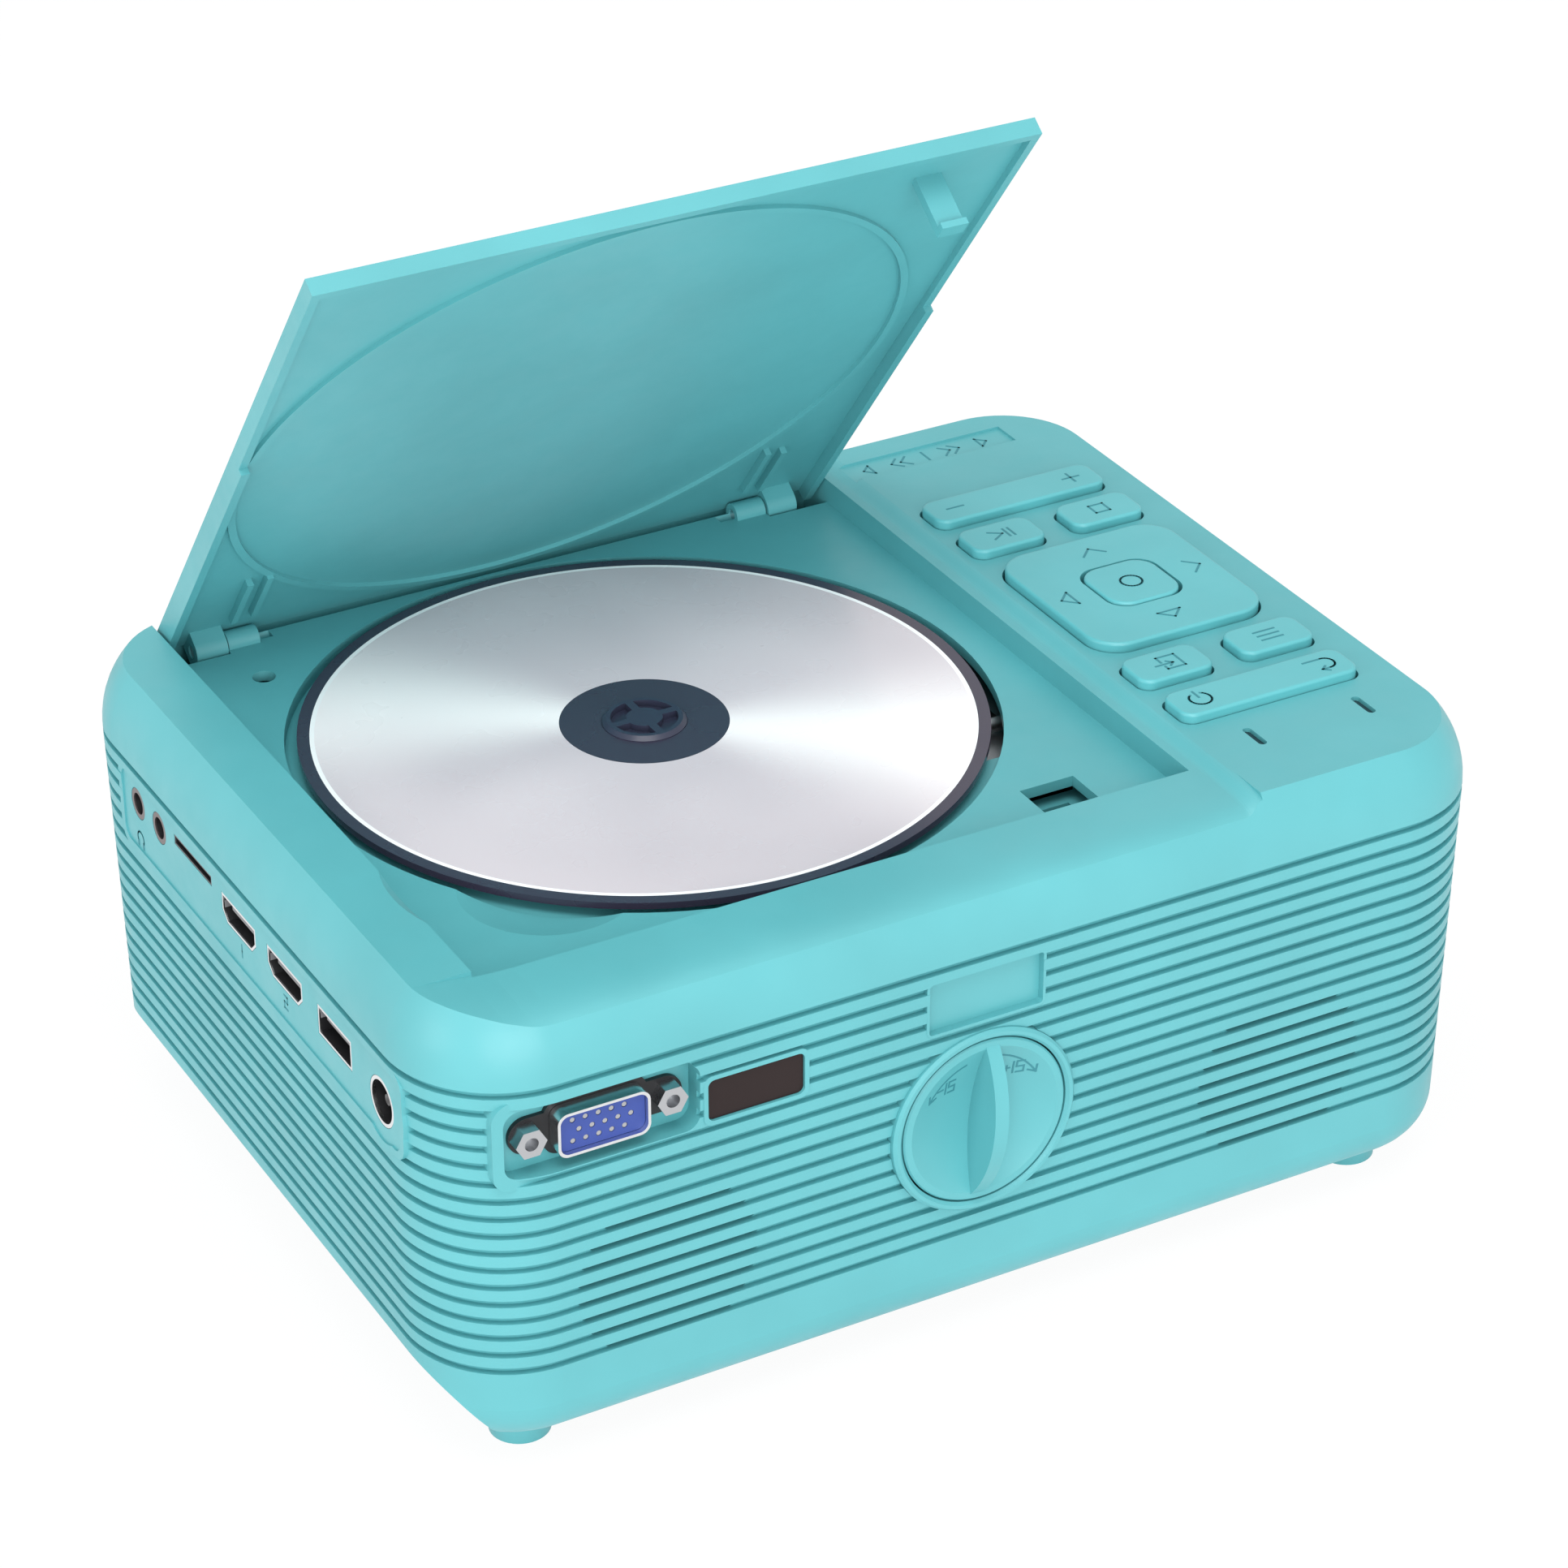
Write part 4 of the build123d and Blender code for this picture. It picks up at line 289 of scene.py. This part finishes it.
def disc_material(settings, centre):
    """Silver print with soft bright sectors of painted reflection, dark bare rings at rim and hub.
    """
    material, tree, shader, where = new_material("disc_print")
    shift = tree.nodes.new("ShaderNodeMapping")
    shift.inputs["Location"].default_value = (-centre.x, -centre.y, 0.0)
    tree.links.new(where, shift.inputs["Vector"])
    parts = tree.nodes.new("ShaderNodeSeparateXYZ")
    tree.links.new(shift.outputs["Vector"], parts.inputs["Vector"])
    x, y = parts.outputs["X"], parts.outputs["Y"]
    radius = math_node(tree, "SQRT", math_node(tree, "ADD", math_node(tree, "MULTIPLY", x, x),
                                              math_node(tree, "MULTIPLY", y, y)))
    # painted reflection: the face is lighter in sectors round the centre and darker between them,
    # standing in for streaks of reflected light
    angle = math_node(tree, "ARCTAN2", y, x)
    reflection_sector = math_node(tree, "COSINE", math_node(
        tree, "MULTIPLY", math_node(tree, "ADD", angle, 0.62), float(settings.streaks)))
    reflection_sector = math_node(tree, "POWER", math_node(tree, "MAXIMUM", reflection_sector, 0.0), 3.0)
    # the darker and the near-white ends of the painted reflection sectors
    base = tuple(settings.face)
    deep = tuple(c * f for c, f in zip(base, (0.80, 0.77, 0.80)))
    bright = (0.98, 0.94, 0.94)
    face = blend_colours(tree, reflection_sector, deep, bright)
    drift = noise(tree, shift.outputs["Vector"], 0.030, 1.0)
    face = blend_colours(tree, spread(tree, drift, 0.0, 0.30), face, (0.83, 0.74, 0.77))
    rim = tuple(settings.rim)
    inside = math_node(tree, "LESS_THAN", radius, settings.hub_radius)
    outside = math_node(tree, "GREATER_THAN", radius, settings.face_radius)
    bare = math_node(tree, "MAXIMUM", inside, outside)
    line = math_node(tree, "COMPARE", radius, settings.face_radius - 0.0004)
    line.node.inputs[2].default_value = 0.0004
    face = blend_colours(tree, line, face, (0.95, 0.95, 0.96))
    tree.links.new(blend_colours(tree, bare, face, rim), shader.inputs["Base Color"])
    groove = tree.nodes.new("ShaderNodeTexWave")
    groove.wave_type = "RINGS"
    groove.rings_direction = "Z"
    groove.inputs["Scale"].default_value = 900.0
    tree.links.new(shift.outputs["Vector"], groove.inputs["Vector"])
    bump = tree.nodes.new("ShaderNodeBump")
    bump.inputs["Distance"].default_value = 0.0000004
    bump.inputs["Strength"].default_value = 0.2
    tree.links.new(groove.outputs["Fac"], bump.inputs["Height"])
    tree.links.new(bump.outputs["Normal"], shader.inputs["Normal"])
    shader.inputs["Metallic"].default_value = 0.0
    tree.links.new(spread(tree, noise(tree, where, 0.01), 0.24, 0.34), shader.inputs["Roughness"])
    shader.inputs["Coat Weight"].default_value = 0.25
    shader.inputs["Coat Roughness"].default_value = 0.16
    return material


def paint(names, material):
    for name in names:
        node = NODES[name]
        node.data.materials.clear()
        node.data.materials.append(material)


# -------------------------------------------------------------------- marks
class Drawing:
    """Flat strokes on a plane, gathered into one mesh."""

    def __init__(self, name, origin, right, up, stroke, lift, dip=None):
        self.name = name
        self.origin = Vector(origin)
        self.right = Vector(right).normalized()
        self.up = Vector(up).normalized()
        self.out = self.right.cross(self.up)
        self.stroke = stroke
        self.lift = lift
        self.dip = dip
        self.mesh = bmesh.new()

    def place(self, x, y, rise):
        if self.dip is not None:
            rise -= self.dip(x, y)
        return self.origin + self.right * x + self.up * y + self.out * rise

    def prism(self, outline):
        top = [self.mesh.verts.new(self.place(x, y, self.lift)) for x, y in outline]
        low = [self.mesh.verts.new(self.place(x, y, -MARK_ROOT)) for x, y in outline]
        self.mesh.faces.new(top)
        self.mesh.faces.new(list(reversed(low)))
        count = len(outline)
        for i in range(count):
            j = (i + 1) % count
            self.mesh.faces.new((top[i], low[i], low[j], top[j]))

    def line(self, start, end):
        a, b = Vector(start), Vector(end)
        along = (b - a).normalized() * self.stroke / 2
        side = Vector((-along.y, along.x))
        a, b = a - along, b + along
        self.prism([(a - side)[:], (b - side)[:], (b + side)[:], (a + side)[:]])

    def path(self, points, closed=False):
        pairs = list(zip(points, points[1:]))
        if closed:
            pairs.append((points[-1], points[0]))
        for start, end in pairs:
            self.line(start, end)

    def arc(self, cx, cy, radius, start, end, steps=16):
        turn = [start + (end - start) * i / steps for i in range(steps + 1)]
        spots = [(cx + radius * math.cos(math.radians(t)), cy + radius * math.sin(math.radians(t)))
                 for t in turn]
        self.path(spots)
        return spots

    def finish(self, material, body, slot_name):
        bmesh.ops.recalc_face_normals(self.mesh, faces=self.mesh.faces)
        data = bpy.data.meshes.new(self.name)
        self.mesh.to_mesh(data)
        self.mesh.free()
        piece = bpy.data.objects.new(self.name, data)
        bpy.context.scene.collection.objects.link(piece)
        data.materials.append(material)
        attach(piece, body)
        return piece


def key_drawing(node, name, settings):
    """A drawing on the middle of a key's top, and the key's width."""
    low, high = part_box(node)
    centre = ((low.x + high.x) / 2, (low.y + high.y) / 2, high.z)
    drawing = Drawing(name, centre, (1, 0, 0), (0, 1, 0), settings.stroke, settings.lift)
    return drawing, high.x - low.x


SEGMENTS = {"1": "bc", "2": "abged", "5": "afgcd"}


def numeral(drawing, digit, x, y, height, angle=0.0):
    """A plain seven-bar numeral with its lower left corner at x, y."""
    width = height * 0.52
    corner = {
        "a": ((0, height), (width, height)), "b": ((width, height), (width, height / 2)),
        "c": ((width, height / 2), (width, 0)), "d": ((0, 0), (width, 0)),
        "e": ((0, 0), (0, height / 2)), "f": ((0, height / 2), (0, height)),
        "g": ((0, height / 2), (width, height / 2)),
    }
    cosine, sine = math.cos(math.radians(angle)), math.sin(math.radians(angle))
    for bar in SEGMENTS[digit]:
        ends = [(x + a * cosine - b * sine, y + a * sine + b * cosine) for a, b in corner[bar]]
        drawing.line(*ends)


# ---------------------------------------------------------------- operators
class PROJECTOR_OT_housing(bpy.types.Operator):
    """Turquoise moulded plastic for the housing, cover, lid and knob"""

    bl_idname = "projector.housing"
    bl_label = "Finish the housing"

    def execute(self, context):
        s = context.scene.projector_plastic
        skin = finish_material("turquoise_moulding", tuple(s.housing), s.roughness, s.grain)
        paint(["top_cover", "lower_shell", "lid", "lid_catch", "knob_ring", "keystone_knob"], skin)
        return {"FINISHED"}


class PROJECTOR_OT_keys(bpy.types.Operator):
    """Slightly lighter plastic for the keys, with the mat and board under them"""

    bl_idname = "projector.keys"
    bl_label = "Finish the keys"

    def execute(self, context):
        s = context.scene.projector_plastic
        caps = finish_material("key_moulding", tuple(s.keys), s.roughness - 0.06, s.grain)
        paint(["volume_key", "power_key", "play_key", "stop_key", "source_key", "menu_key",
               "direction_pad", "centre_key"], caps)
        mat = finish_material("dome_silicone", (0.55, 0.56, 0.55), 0.55, 0.0006)
        paint(["keypad_mat", "pad_rocker_ring"], mat)
        guide = finish_material("smoked_light_guide", (0.020, 0.045, 0.055), 0.20, 0.002)
        paint(["led_pipes"], guide)
        paint(["keypad_board", "main_board"], board_material())
        return {"FINISHED"}


class PROJECTOR_OT_disc(bpy.types.Operator):
    """Disc face, turntable and the pickup below it"""

    bl_idname = "projector.disc"
    bl_label = "Finish the disc drive"

    def execute(self, context):
        s = context.scene.projector_disc
        low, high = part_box("disc")
        centre = (low + high) / 2
        paint(["disc"], disc_material(s, centre))
        hub = finish_material("hub_plastic", (0.028, 0.032, 0.060), 0.38, 0.0004)
        paint(["turntable", "pickup_sled"], hub)
        steel = finish_material("rolled_steel", (0.56, 0.57, 0.59), 0.34, 0.0002, metal=1.0,
                                stretch=(1.0, 14.0, 1.0))
        paint(["drive_chassis", "spindle_motor", "guide_rails", "lid_hinge_pins",
               "keystone_shaft", "speaker_frames", "case_screws"], steel)
        rubber = finish_material("damper_rubber", (0.022, 0.022, 0.024), 0.72, 0.0003)
        paint(["drive_dampers"], rubber)
        paint(["pickup_lens"], glass_material("pickup_glass", (0.72, 0.80, 0.98)))
        return {"FINISHED"}


class PROJECTOR_OT_sockets(bpy.types.Operator):
    """Plated socket shells, black inserts and the dark window"""

    bl_idname = "projector.sockets"
    bl_label = "Finish the sockets"

    def execute(self, context):
        low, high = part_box("lower_shell")
        left, front = low.x, low.y
        steel, ink = (0.86, 0.87, 0.88), (0.012, 0.012, 0.014)
        grey = (0.20, 0.20, 0.21)
        for name, lift in (("video_sockets", VIDEO_TONGUE_RISE), ("usb_socket", USB_TONGUE_RISE)):
            box_low, box_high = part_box(name)
            level = (box_low.z + box_high.z) / 2 + lift
            paint([name], faced_material(name + "_frame", "X", left + PLATE_DEPTH, steel, ink,
                                         band=(level, TONGUE_HALF, grey)))
        paint(["card_socket"], faced_material("card_frame", "X", left + PLATE_DEPTH,
                                              (0.10, 0.10, 0.11), ink, metal=(0.6, 0.0)))
        paint(["audio_sockets"], faced_material("jack_ring", "X", left + PLATE_DEPTH,
                                                (0.16, 0.13, 0.13), ink, (0.3, 0.5), (0.7, 0.0)))
        paint(["power_inlet"], faced_material("inlet_ring", "X", left + INLET_PLATE_DEPTH,
                                              steel, ink))
        paint(["vga_shell"], faced_material("monitor_shell", "Y", front + SHELL_RIM_DEPTH,
                                            steel, ink))
        nickel = finish_material("nickel_plate", (0.56, 0.57, 0.59), 0.30, 0.0003, metal=1.0)
        paint(["vga_jackscrews"], nickel)
        paint(["ir_receiver"], finish_material("receiver_black", (0.018, 0.018, 0.020), 0.36))
        paint(["vga_insert"], faced_material("insert_blue", "Y", front + INSERT_FACE_DEPTH,
                                             (0.028, 0.060, 0.290), (0.50, 0.51, 0.55),
                                             (0.45, 0.35), (0.0, 0.3)))
        window = finish_material("infrared_window", (0.020, 0.012, 0.012), 0.34, 0.004,
                                 wear=0.04, sheen_level=0.2)
        paint(["ir_window"], window)
        return {"FINISHED"}


class PROJECTOR_OT_optics(bpy.types.Operator):
    """Lens, light engine, loudspeaker cones and fan"""

    bl_idname = "projector.optics"
    bl_label = "Finish lens, fan and speakers"

    def execute(self, context):
        black = finish_material("barrel_black", (0.020, 0.020, 0.022), 0.46, 0.0004)
        paint(["light_engine", "lens_tube", "lens_cell", "focus_ring", "fan_frame", "fan_rotor",
               "panel_frame"], black)
        cone = finish_material("cone_paper", (0.045, 0.045, 0.048), 0.80, 0.0005, 0.00004)
        paint(["speaker_cones"], cone)
        glass = glass_material("optical_glass", (0.93, 0.95, 0.99))
        paint(["lens_glasses", "picture_panel"], glass)
        fins = finish_material("extruded_aluminium", (0.70, 0.71, 0.72), 0.36, 0.0002, metal=1.0,
                               stretch=(1.0, 1.0, 12.0))
        paint(["heat_sink"], fins)
        lamp = finish_material("lamp_phosphor", (0.80, 0.62, 0.16), 0.50, 0.0004)
        paint(["led_lamp"], lamp)
        return {"FINISHED"}


class PROJECTOR_OT_key_marks(bpy.types.Operator):
    """Generic control signs on the keys"""

    bl_idname = "projector.key_marks"
    bl_label = "Draw the key signs"

    def execute(self, context):
        s = context.scene.projector_marks
        ink = finish_material("mark_teal", tuple(context.scene.projector_plastic.marks), 0.55)
        g = s.glyph / 2
        d, width = key_drawing("volume_key", "volume_signs", s)
        reach = width * 0.33
        d.line((-reach - g * 0.8, 0), (-reach + g * 0.8, 0))
        d.line((reach - g * 0.8, 0), (reach + g * 0.8, 0))
        d.line((reach, -g * 0.8), (reach, g * 0.8))
        d.finish(ink, "volume_key", "keys")
        d, _ = key_drawing("play_key", "play_sign", s)
        d.path([(-g, -g * 0.7), (g * 0.1, 0), (-g, g * 0.7)])
        d.line((g * 0.5, -g * 0.7), (g * 0.5, g * 0.7))
        d.line((g * 1.0, -g * 0.7), (g * 1.0, g * 0.7))
        d.finish(ink, "play_key", "keys")
        d, _ = key_drawing("stop_key", "stop_sign", s)
        d.path([(-g * 0.7, -g * 0.7), (g * 0.7, -g * 0.7), (g * 0.7, g * 0.7), (-g * 0.7, g * 0.7)],
               True)
        d.finish(ink, "stop_key", "keys")
        d, width = key_drawing("direction_pad", "direction_signs", s)
        far = width * 0.365
        for turn in range(4):
            c, n = math.cos(turn * math.pi / 2), math.sin(turn * math.pi / 2)
            tip, back, half = far + g * 0.55, far - g * 0.55, g * 1.1
            spots = [(back, -half), (tip, 0), (back, half)]
            d.path([(x * c - y * n, x * n + y * c) for x, y in spots], turn > 1)
        d.finish(ink, "direction_pad", "keys")
        d, _ = key_drawing("centre_key", "centre_sign", s)
        d.arc(0, 0, g * 0.95, 0, 360, 24)
        d.finish(ink, "centre_key", "keys")
        d, _ = key_drawing("source_key", "source_sign", s)
        d.path([(-g * 0.5, g * 0.15), (-g * 0.5, g), (g * 1.2, g), (g * 1.2, -g), (-g * 0.5, -g),
                (-g * 0.5, -g * 0.55)])
        d.line((-g * 1.2, -g * 0.2), (g * 0.4, -g * 0.2))
        d.path([(0, g * 0.2), (g * 0.45, -g * 0.2), (0, -g * 0.6)])
        d.finish(ink, "source_key", "keys")
        d, _ = key_drawing("menu_key", "menu_sign", s)
        for row in (-1, 0, 1):
            d.line((-g, row * g * 0.7), (g, row * g * 0.7))
        d.finish(ink, "menu_key", "keys")
        d, _ = key_drawing("power_key", "power_signs", s)
        d.arc(-reach, 0, g * 0.95, 120, 420, 22)
        d.line((-reach, g * 0.25), (-reach, g * 1.25))
        d.path([(reach - g * 1.3, g * 0.8), (reach + g * 0.4, g * 0.8)])
        d.arc(reach + g * 0.4, 0, g * 0.8, 90, -90, 12)
        d.line((reach + g * 0.4, -g * 0.8), (reach - g * 0.3, -g * 0.8))
        d.path([(reach + g * 0.1, -g * 0.4), (reach - g * 0.4, -g * 0.8),
                (reach + g * 0.1, -g * 1.2)])
        d.finish(ink, "power_key", "keys")
        return {"FINISHED"}


class PROJECTOR_OT_dial_marks(bpy.types.Operator):
    """Arrows and plain numerals on the dial"""

    bl_idname = "projector.dial_marks"
    bl_label = "Draw the dial"

    def execute(self, context):
        s = context.scene.projector_marks
        ink = bpy.data.materials["mark_teal"]
        low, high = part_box("keystone_knob")
        centre = ((low.x + high.x) / 2, low.y, (low.z + high.z) / 2)
        top = high.y - s.knob_depth
        ball = (s.dish_radius ** 2 + s.dish_depth ** 2) / (2 * s.dish_depth)

        def dip(x, y):
            return math.sqrt(max(ball ** 2 - x * x - y * y, 0.0)) - (ball - s.dish_depth)

        d = Drawing("dial_signs", (centre[0], top, centre[2]), (1, 0, 0), (0, 0, 1),
                    s.stroke * 0.8, s.lift, dip)
        h = s.numeral
        for side in (-1, 1):
            mid = 90 - side * 38
            spots = d.arc(0, 0, DIAL_ARROW_RADIUS, mid + side * 22, mid - side * 22, 10)
            tip = Vector(spots[-1])
            along = (tip - Vector(spots[-2])).normalized()
            for swing in (145, -145):
                barb = Matrix.Rotation(math.radians(swing), 2) @ along * 0.0015
                d.line(tip[:], (tip + barb)[:])
            left = side * DIAL_NUMERAL_SPREAD - h * 0.5 + max(side, 0) * DIAL_NUMERAL_SHIFT
            base = DIAL_NUMERAL_BASE
            numeral(d, "1", left - h * 0.35, base, h)
            numeral(d, "5", left + h * 0.42, base, h)
            d.line((left - h * 0.55, base + h / 2), (left - h * 0.10, base + h / 2))
            if side > 0:
                d.line((left - h * 0.32, base + h * 0.27), (left - h * 0.32, base + h * 0.73))
        d.finish(ink, "knob", "keys")
        return {"FINISHED"}


class PROJECTOR_OT_panel_marks(bpy.types.Operator):
    """Headphone sign and plain numbers by the sockets, and the marks of the top strip"""

    bl_idname = "projector.panel_marks"
    bl_label = "Draw socket and strip marks"

    def execute(self, context):
        s = context.scene.projector_marks
        ink = bpy.data.materials["mark_teal"]
        low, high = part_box("audio_sockets")
        face = low.x - 0.00005
        d = Drawing("socket_signs", (face, 0, 0), (0, -1, 0), (0, 0, 1), s.stroke * 0.8, s.lift)
        level = low.z - 0.0042
        spot = -high.y + 0.003
        d.arc(spot, level, 0.0014, -20, 200, 14)
        for side in (-1, 1):
            d.line((spot + side * 0.0013, level - 0.0003), (spot + side * 0.0013, level - 0.0016))
            d.line((spot + side * 0.0009, level - 0.0006), (spot + side * 0.0009, level - 0.0016))
        low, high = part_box("video_sockets")
        level = low.z - 0.0036
        width = s.numeral * 0.52
        for number, place in (("1", high.y), ("2", low.y + VIDEO_OPENING_WIDTH)):
            start = -place + VIDEO_OPENING_WIDTH / 2 - width / 2
            numeral(d, number, start, level, s.numeral)
        d.finish(ink, "housing", "keys")
        d = Drawing("strip_signs", STRIP_CENTRE, (1, 0, 0), (0, 1, 0), s.stroke, s.lift)
        g = s.glyph * 0.40
        for place, way in STRIP_CHEVRONS:
            spots = [(place - way * g * 0.5, -g), (place + way * g * 0.5, 0),
                     (place - way * g * 0.5, g)]
            d.path(spots, abs(place) > STRIP_TRIANGLES_FROM)
        d.line((0, -g), (0, g))
        d.finish(ink, "housing", "keys")
        return {"FINISHED"}


def contact_tree(settings, material):
    """A cylinder lying along Y on each point, with its sizes as inputs."""
    tree = bpy.data.node_groups.new("contact_rows", "GeometryNodeTree")
    face = tree.interface
    face.new_socket("Geometry", in_out="INPUT", socket_type="NodeSocketGeometry")
    for label, value in (("Contact radius", settings.radius), ("Contact length", settings.length)):
        socket = face.new_socket(label, in_out="INPUT", socket_type="NodeSocketFloat")
        socket.default_value = value
    face.new_socket("Geometry", in_out="OUTPUT", socket_type="NodeSocketGeometry")
    start = tree.nodes.new("NodeGroupInput")
    end = tree.nodes.new("NodeGroupOutput")
    pin = tree.nodes.new("GeometryNodeMeshCylinder")
    pin.inputs["Vertices"].default_value = 16
    tree.links.new(start.outputs["Contact radius"], pin.inputs["Radius"])
    tree.links.new(start.outputs["Contact length"], pin.inputs["Depth"])
    place = tree.nodes.new("GeometryNodeInstanceOnPoints")
    place.inputs["Rotation"].default_value = (math.pi / 2, 0.0, 0.0)
    tree.links.new(start.outputs["Geometry"], place.inputs["Points"])
    tree.links.new(pin.outputs["Mesh"], place.inputs["Instance"])
    solid = tree.nodes.new("GeometryNodeRealizeInstances")
    tree.links.new(place.outputs["Instances"], solid.inputs["Geometry"])
    coat = tree.nodes.new("GeometryNodeSetMaterial")
    coat.inputs["Material"].default_value = material
    tree.links.new(solid.outputs["Geometry"], coat.inputs["Geometry"])
    tree.links.new(coat.outputs["Geometry"], end.inputs["Geometry"])
    return tree


class PROJECTOR_OT_contacts(bpy.types.Operator):
    """Three staggered rows of contacts in the monitor socket"""

    bl_idname = "projector.contacts"
    bl_label = "Place the contacts"

    def execute(self, context):
        s = context.scene.projector_contacts
        low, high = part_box("vga_insert")
        middle = (low + high) / 2
        data = bpy.data.meshes.new("contact_spots")
        spots = []
        for row in (-1, 0, 1):
            shift = s.stagger if row == 0 else -s.stagger
            for column in (-2, -1, 0, 1, 2):
                spots.append((middle.x + column * s.pitch + shift, low.y + s.length / 2 + 0.0001,
                              middle.z + row * s.row_pitch))
        data.from_pydata(spots, [], [])
        rows = bpy.data.objects.new("contact_spots", data)
        context.scene.collection.objects.link(rows)
        plate = finish_material("contact_plate", (0.42, 0.42, 0.43), 0.34, 0.0002, metal=0.6)
        modifier = rows.modifiers.new("contact_rows", "NODES")
        modifier.node_group = contact_tree(s, plate)
        context.view_layer.update()
        seen = rows.evaluated_get(context.evaluated_depsgraph_get())
        mesh = bpy.data.meshes.new_from_object(seen)
        rows.modifiers.remove(modifier)
        bpy.data.objects.remove(rows)
        piece = bpy.data.objects.new("monitor_contacts", mesh)
        context.scene.collection.objects.link(piece)
        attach(piece, "housing")
        return {"FINISHED"}


class PROJECTOR_OT_studio(bpy.types.Operator):
    """Pale floor, soft lights and the camera"""

    bl_idname = "projector.studio"
    bl_label = "Set up the studio"

    def execute(self, context):
        s = context.scene.projector_studio
        scene = context.scene
        scene.view_settings.view_transform = "Standard"
        camera_data = bpy.data.cameras.new("camera")
        camera_data.lens = s.focal
        camera_data.sensor_width = SENSOR_WIDTH
        camera_data.clip_start = 0.01
        camera_data.shift_x, camera_data.shift_y = CAMERA_SHIFT
        camera = bpy.data.objects.new("camera", camera_data)
        scene.collection.objects.link(camera)
        right = Vector(CAMERA_RIGHT).normalized()
        ahead = Vector(CAMERA_AHEAD).normalized()
        up = right.cross(ahead).normalized()
        right = ahead.cross(up).normalized()
        turn = Matrix((right, up, -ahead)).transposed().to_4x4()
        camera.matrix_world = Matrix.Translation(CAMERA_PLACE) @ turn
        scene.camera = camera

        bpy.ops.mesh.primitive_plane_add(size=FLOOR_SIZE)
        floor = context.object
        floor.name = "floor"
        material, tree, shader, where = new_material("studio_floor")
        shader.inputs["Base Color"].default_value = (0.93, 0.93, 0.93, 1.0)
        shader.inputs["Roughness"].default_value = 0.9
        glow = tree.nodes.new("ShaderNodeEmission")
        glow.inputs["Color"].default_value = (1.0, 1.0, 1.0, 1.0)
        path = tree.nodes.new("ShaderNodeLightPath")
        seen = math_node(tree, "MAXIMUM", path.outputs["Is Camera Ray"],
                         path.outputs["Is Glossy Ray"])
        seen = math_node(tree, "MULTIPLY", seen, FLOOR_GLOW)
        mix = tree.nodes.new("ShaderNodeMixShader")
        tree.links.new(seen, mix.inputs["Fac"])
        tree.links.new(shader.outputs["BSDF"], mix.inputs[1])
        tree.links.new(glow.outputs["Emission"], mix.inputs[2])
        out = tree.nodes["Material Output"]
        tree.links.new(mix.outputs["Shader"], out.inputs["Surface"])
        floor.data.materials.append(material)

        world = bpy.data.worlds.new("studio_world")
        scene.world = world
        world.use_nodes = True
        tree = world.node_tree
        plain = tree.nodes["Background"]
        plain.inputs["Color"].default_value = (1.0, 1.0, 1.0, 1.0)
        plain.inputs["Strength"].default_value = s.fill
        white = tree.nodes.new("ShaderNodeBackground")
        white.inputs["Strength"].default_value = 1.0
        path = tree.nodes.new("ShaderNodeLightPath")
        mix = tree.nodes.new("ShaderNodeMixShader")
        tree.links.new(path.outputs["Is Camera Ray"], mix.inputs["Fac"])
        tree.links.new(plain.outputs["Background"], mix.inputs[1])
        tree.links.new(white.outputs["Background"], mix.inputs[2])
        tree.links.new(mix.outputs["Shader"], tree.nodes["World Output"].inputs["Surface"])

        for name, place, size, share in SOFTBOXES:
            lamp = bpy.data.lights.new(name, "AREA")
            lamp.shape = "RECTANGLE"
            lamp.size, lamp.size_y = size
            lamp.energy = s.key_power * share
            holder = bpy.data.objects.new(name, lamp)
            scene.collection.objects.link(holder)
            holder.location = place
            direction = Vector(SOFTBOX_AIM) - Vector(place)
            holder.rotation_euler = direction.to_track_quat("-Z", "Y").to_euler()
        return {"FINISHED"}


class PROJECTOR_PT_panel(bpy.types.Panel):
    """Lists the steps that dress the projector"""

    bl_idname = "PROJECTOR_PT_panel"
    bl_label = "Projector"
    bl_space_type = "VIEW_3D"
    bl_region_type = "UI"
    bl_category = "Projector"

    def draw(self, context):
        for key in GROUPS:
            group = getattr(context.scene, key)
            box = self.layout.box()
            for name in group.bl_rna.properties.keys():
                if name not in ("rna_type", "name"):
                    box.prop(group, name)
        for step in OPERATORS:
            self.layout.operator(step.bl_idname)


GROUPS = {
    "projector_plastic": PlasticSettings,
    "projector_disc": DiscSettings,
    "projector_contacts": ContactSettings,
    "projector_marks": MarkSettings,
    "projector_studio": StudioSettings,
}
OPERATORS = (
    PROJECTOR_OT_housing,
    PROJECTOR_OT_keys,
    PROJECTOR_OT_disc,
    PROJECTOR_OT_sockets,
    PROJECTOR_OT_optics,
    PROJECTOR_OT_key_marks,
    PROJECTOR_OT_dial_marks,
    PROJECTOR_OT_panel_marks,
    PROJECTOR_OT_contacts,
    PROJECTOR_OT_studio,
)


def register():
    for name, group in GROUPS.items():
        bpy.utils.register_class(group)
        setattr(bpy.types.Scene, name, PointerProperty(type=group))
    for step in OPERATORS:
        bpy.utils.register_class(step)
    bpy.utils.register_class(PROJECTOR_PT_panel)


def unregister():
    bpy.utils.unregister_class(PROJECTOR_PT_panel)
    for step in reversed(OPERATORS):
        bpy.utils.unregister_class(step)
    for name, group in GROUPS.items():
        delattr(bpy.types.Scene, name)
        bpy.utils.unregister_class(group)


def main():
    register()
    for step in OPERATORS:
        group, action = step.bl_idname.split(".")
        result = getattr(getattr(bpy.ops, group), action)()
        if "FINISHED" not in result:
            raise RuntimeError(step.bl_label + " did not finish")


if __name__ == "__main__":
    main()
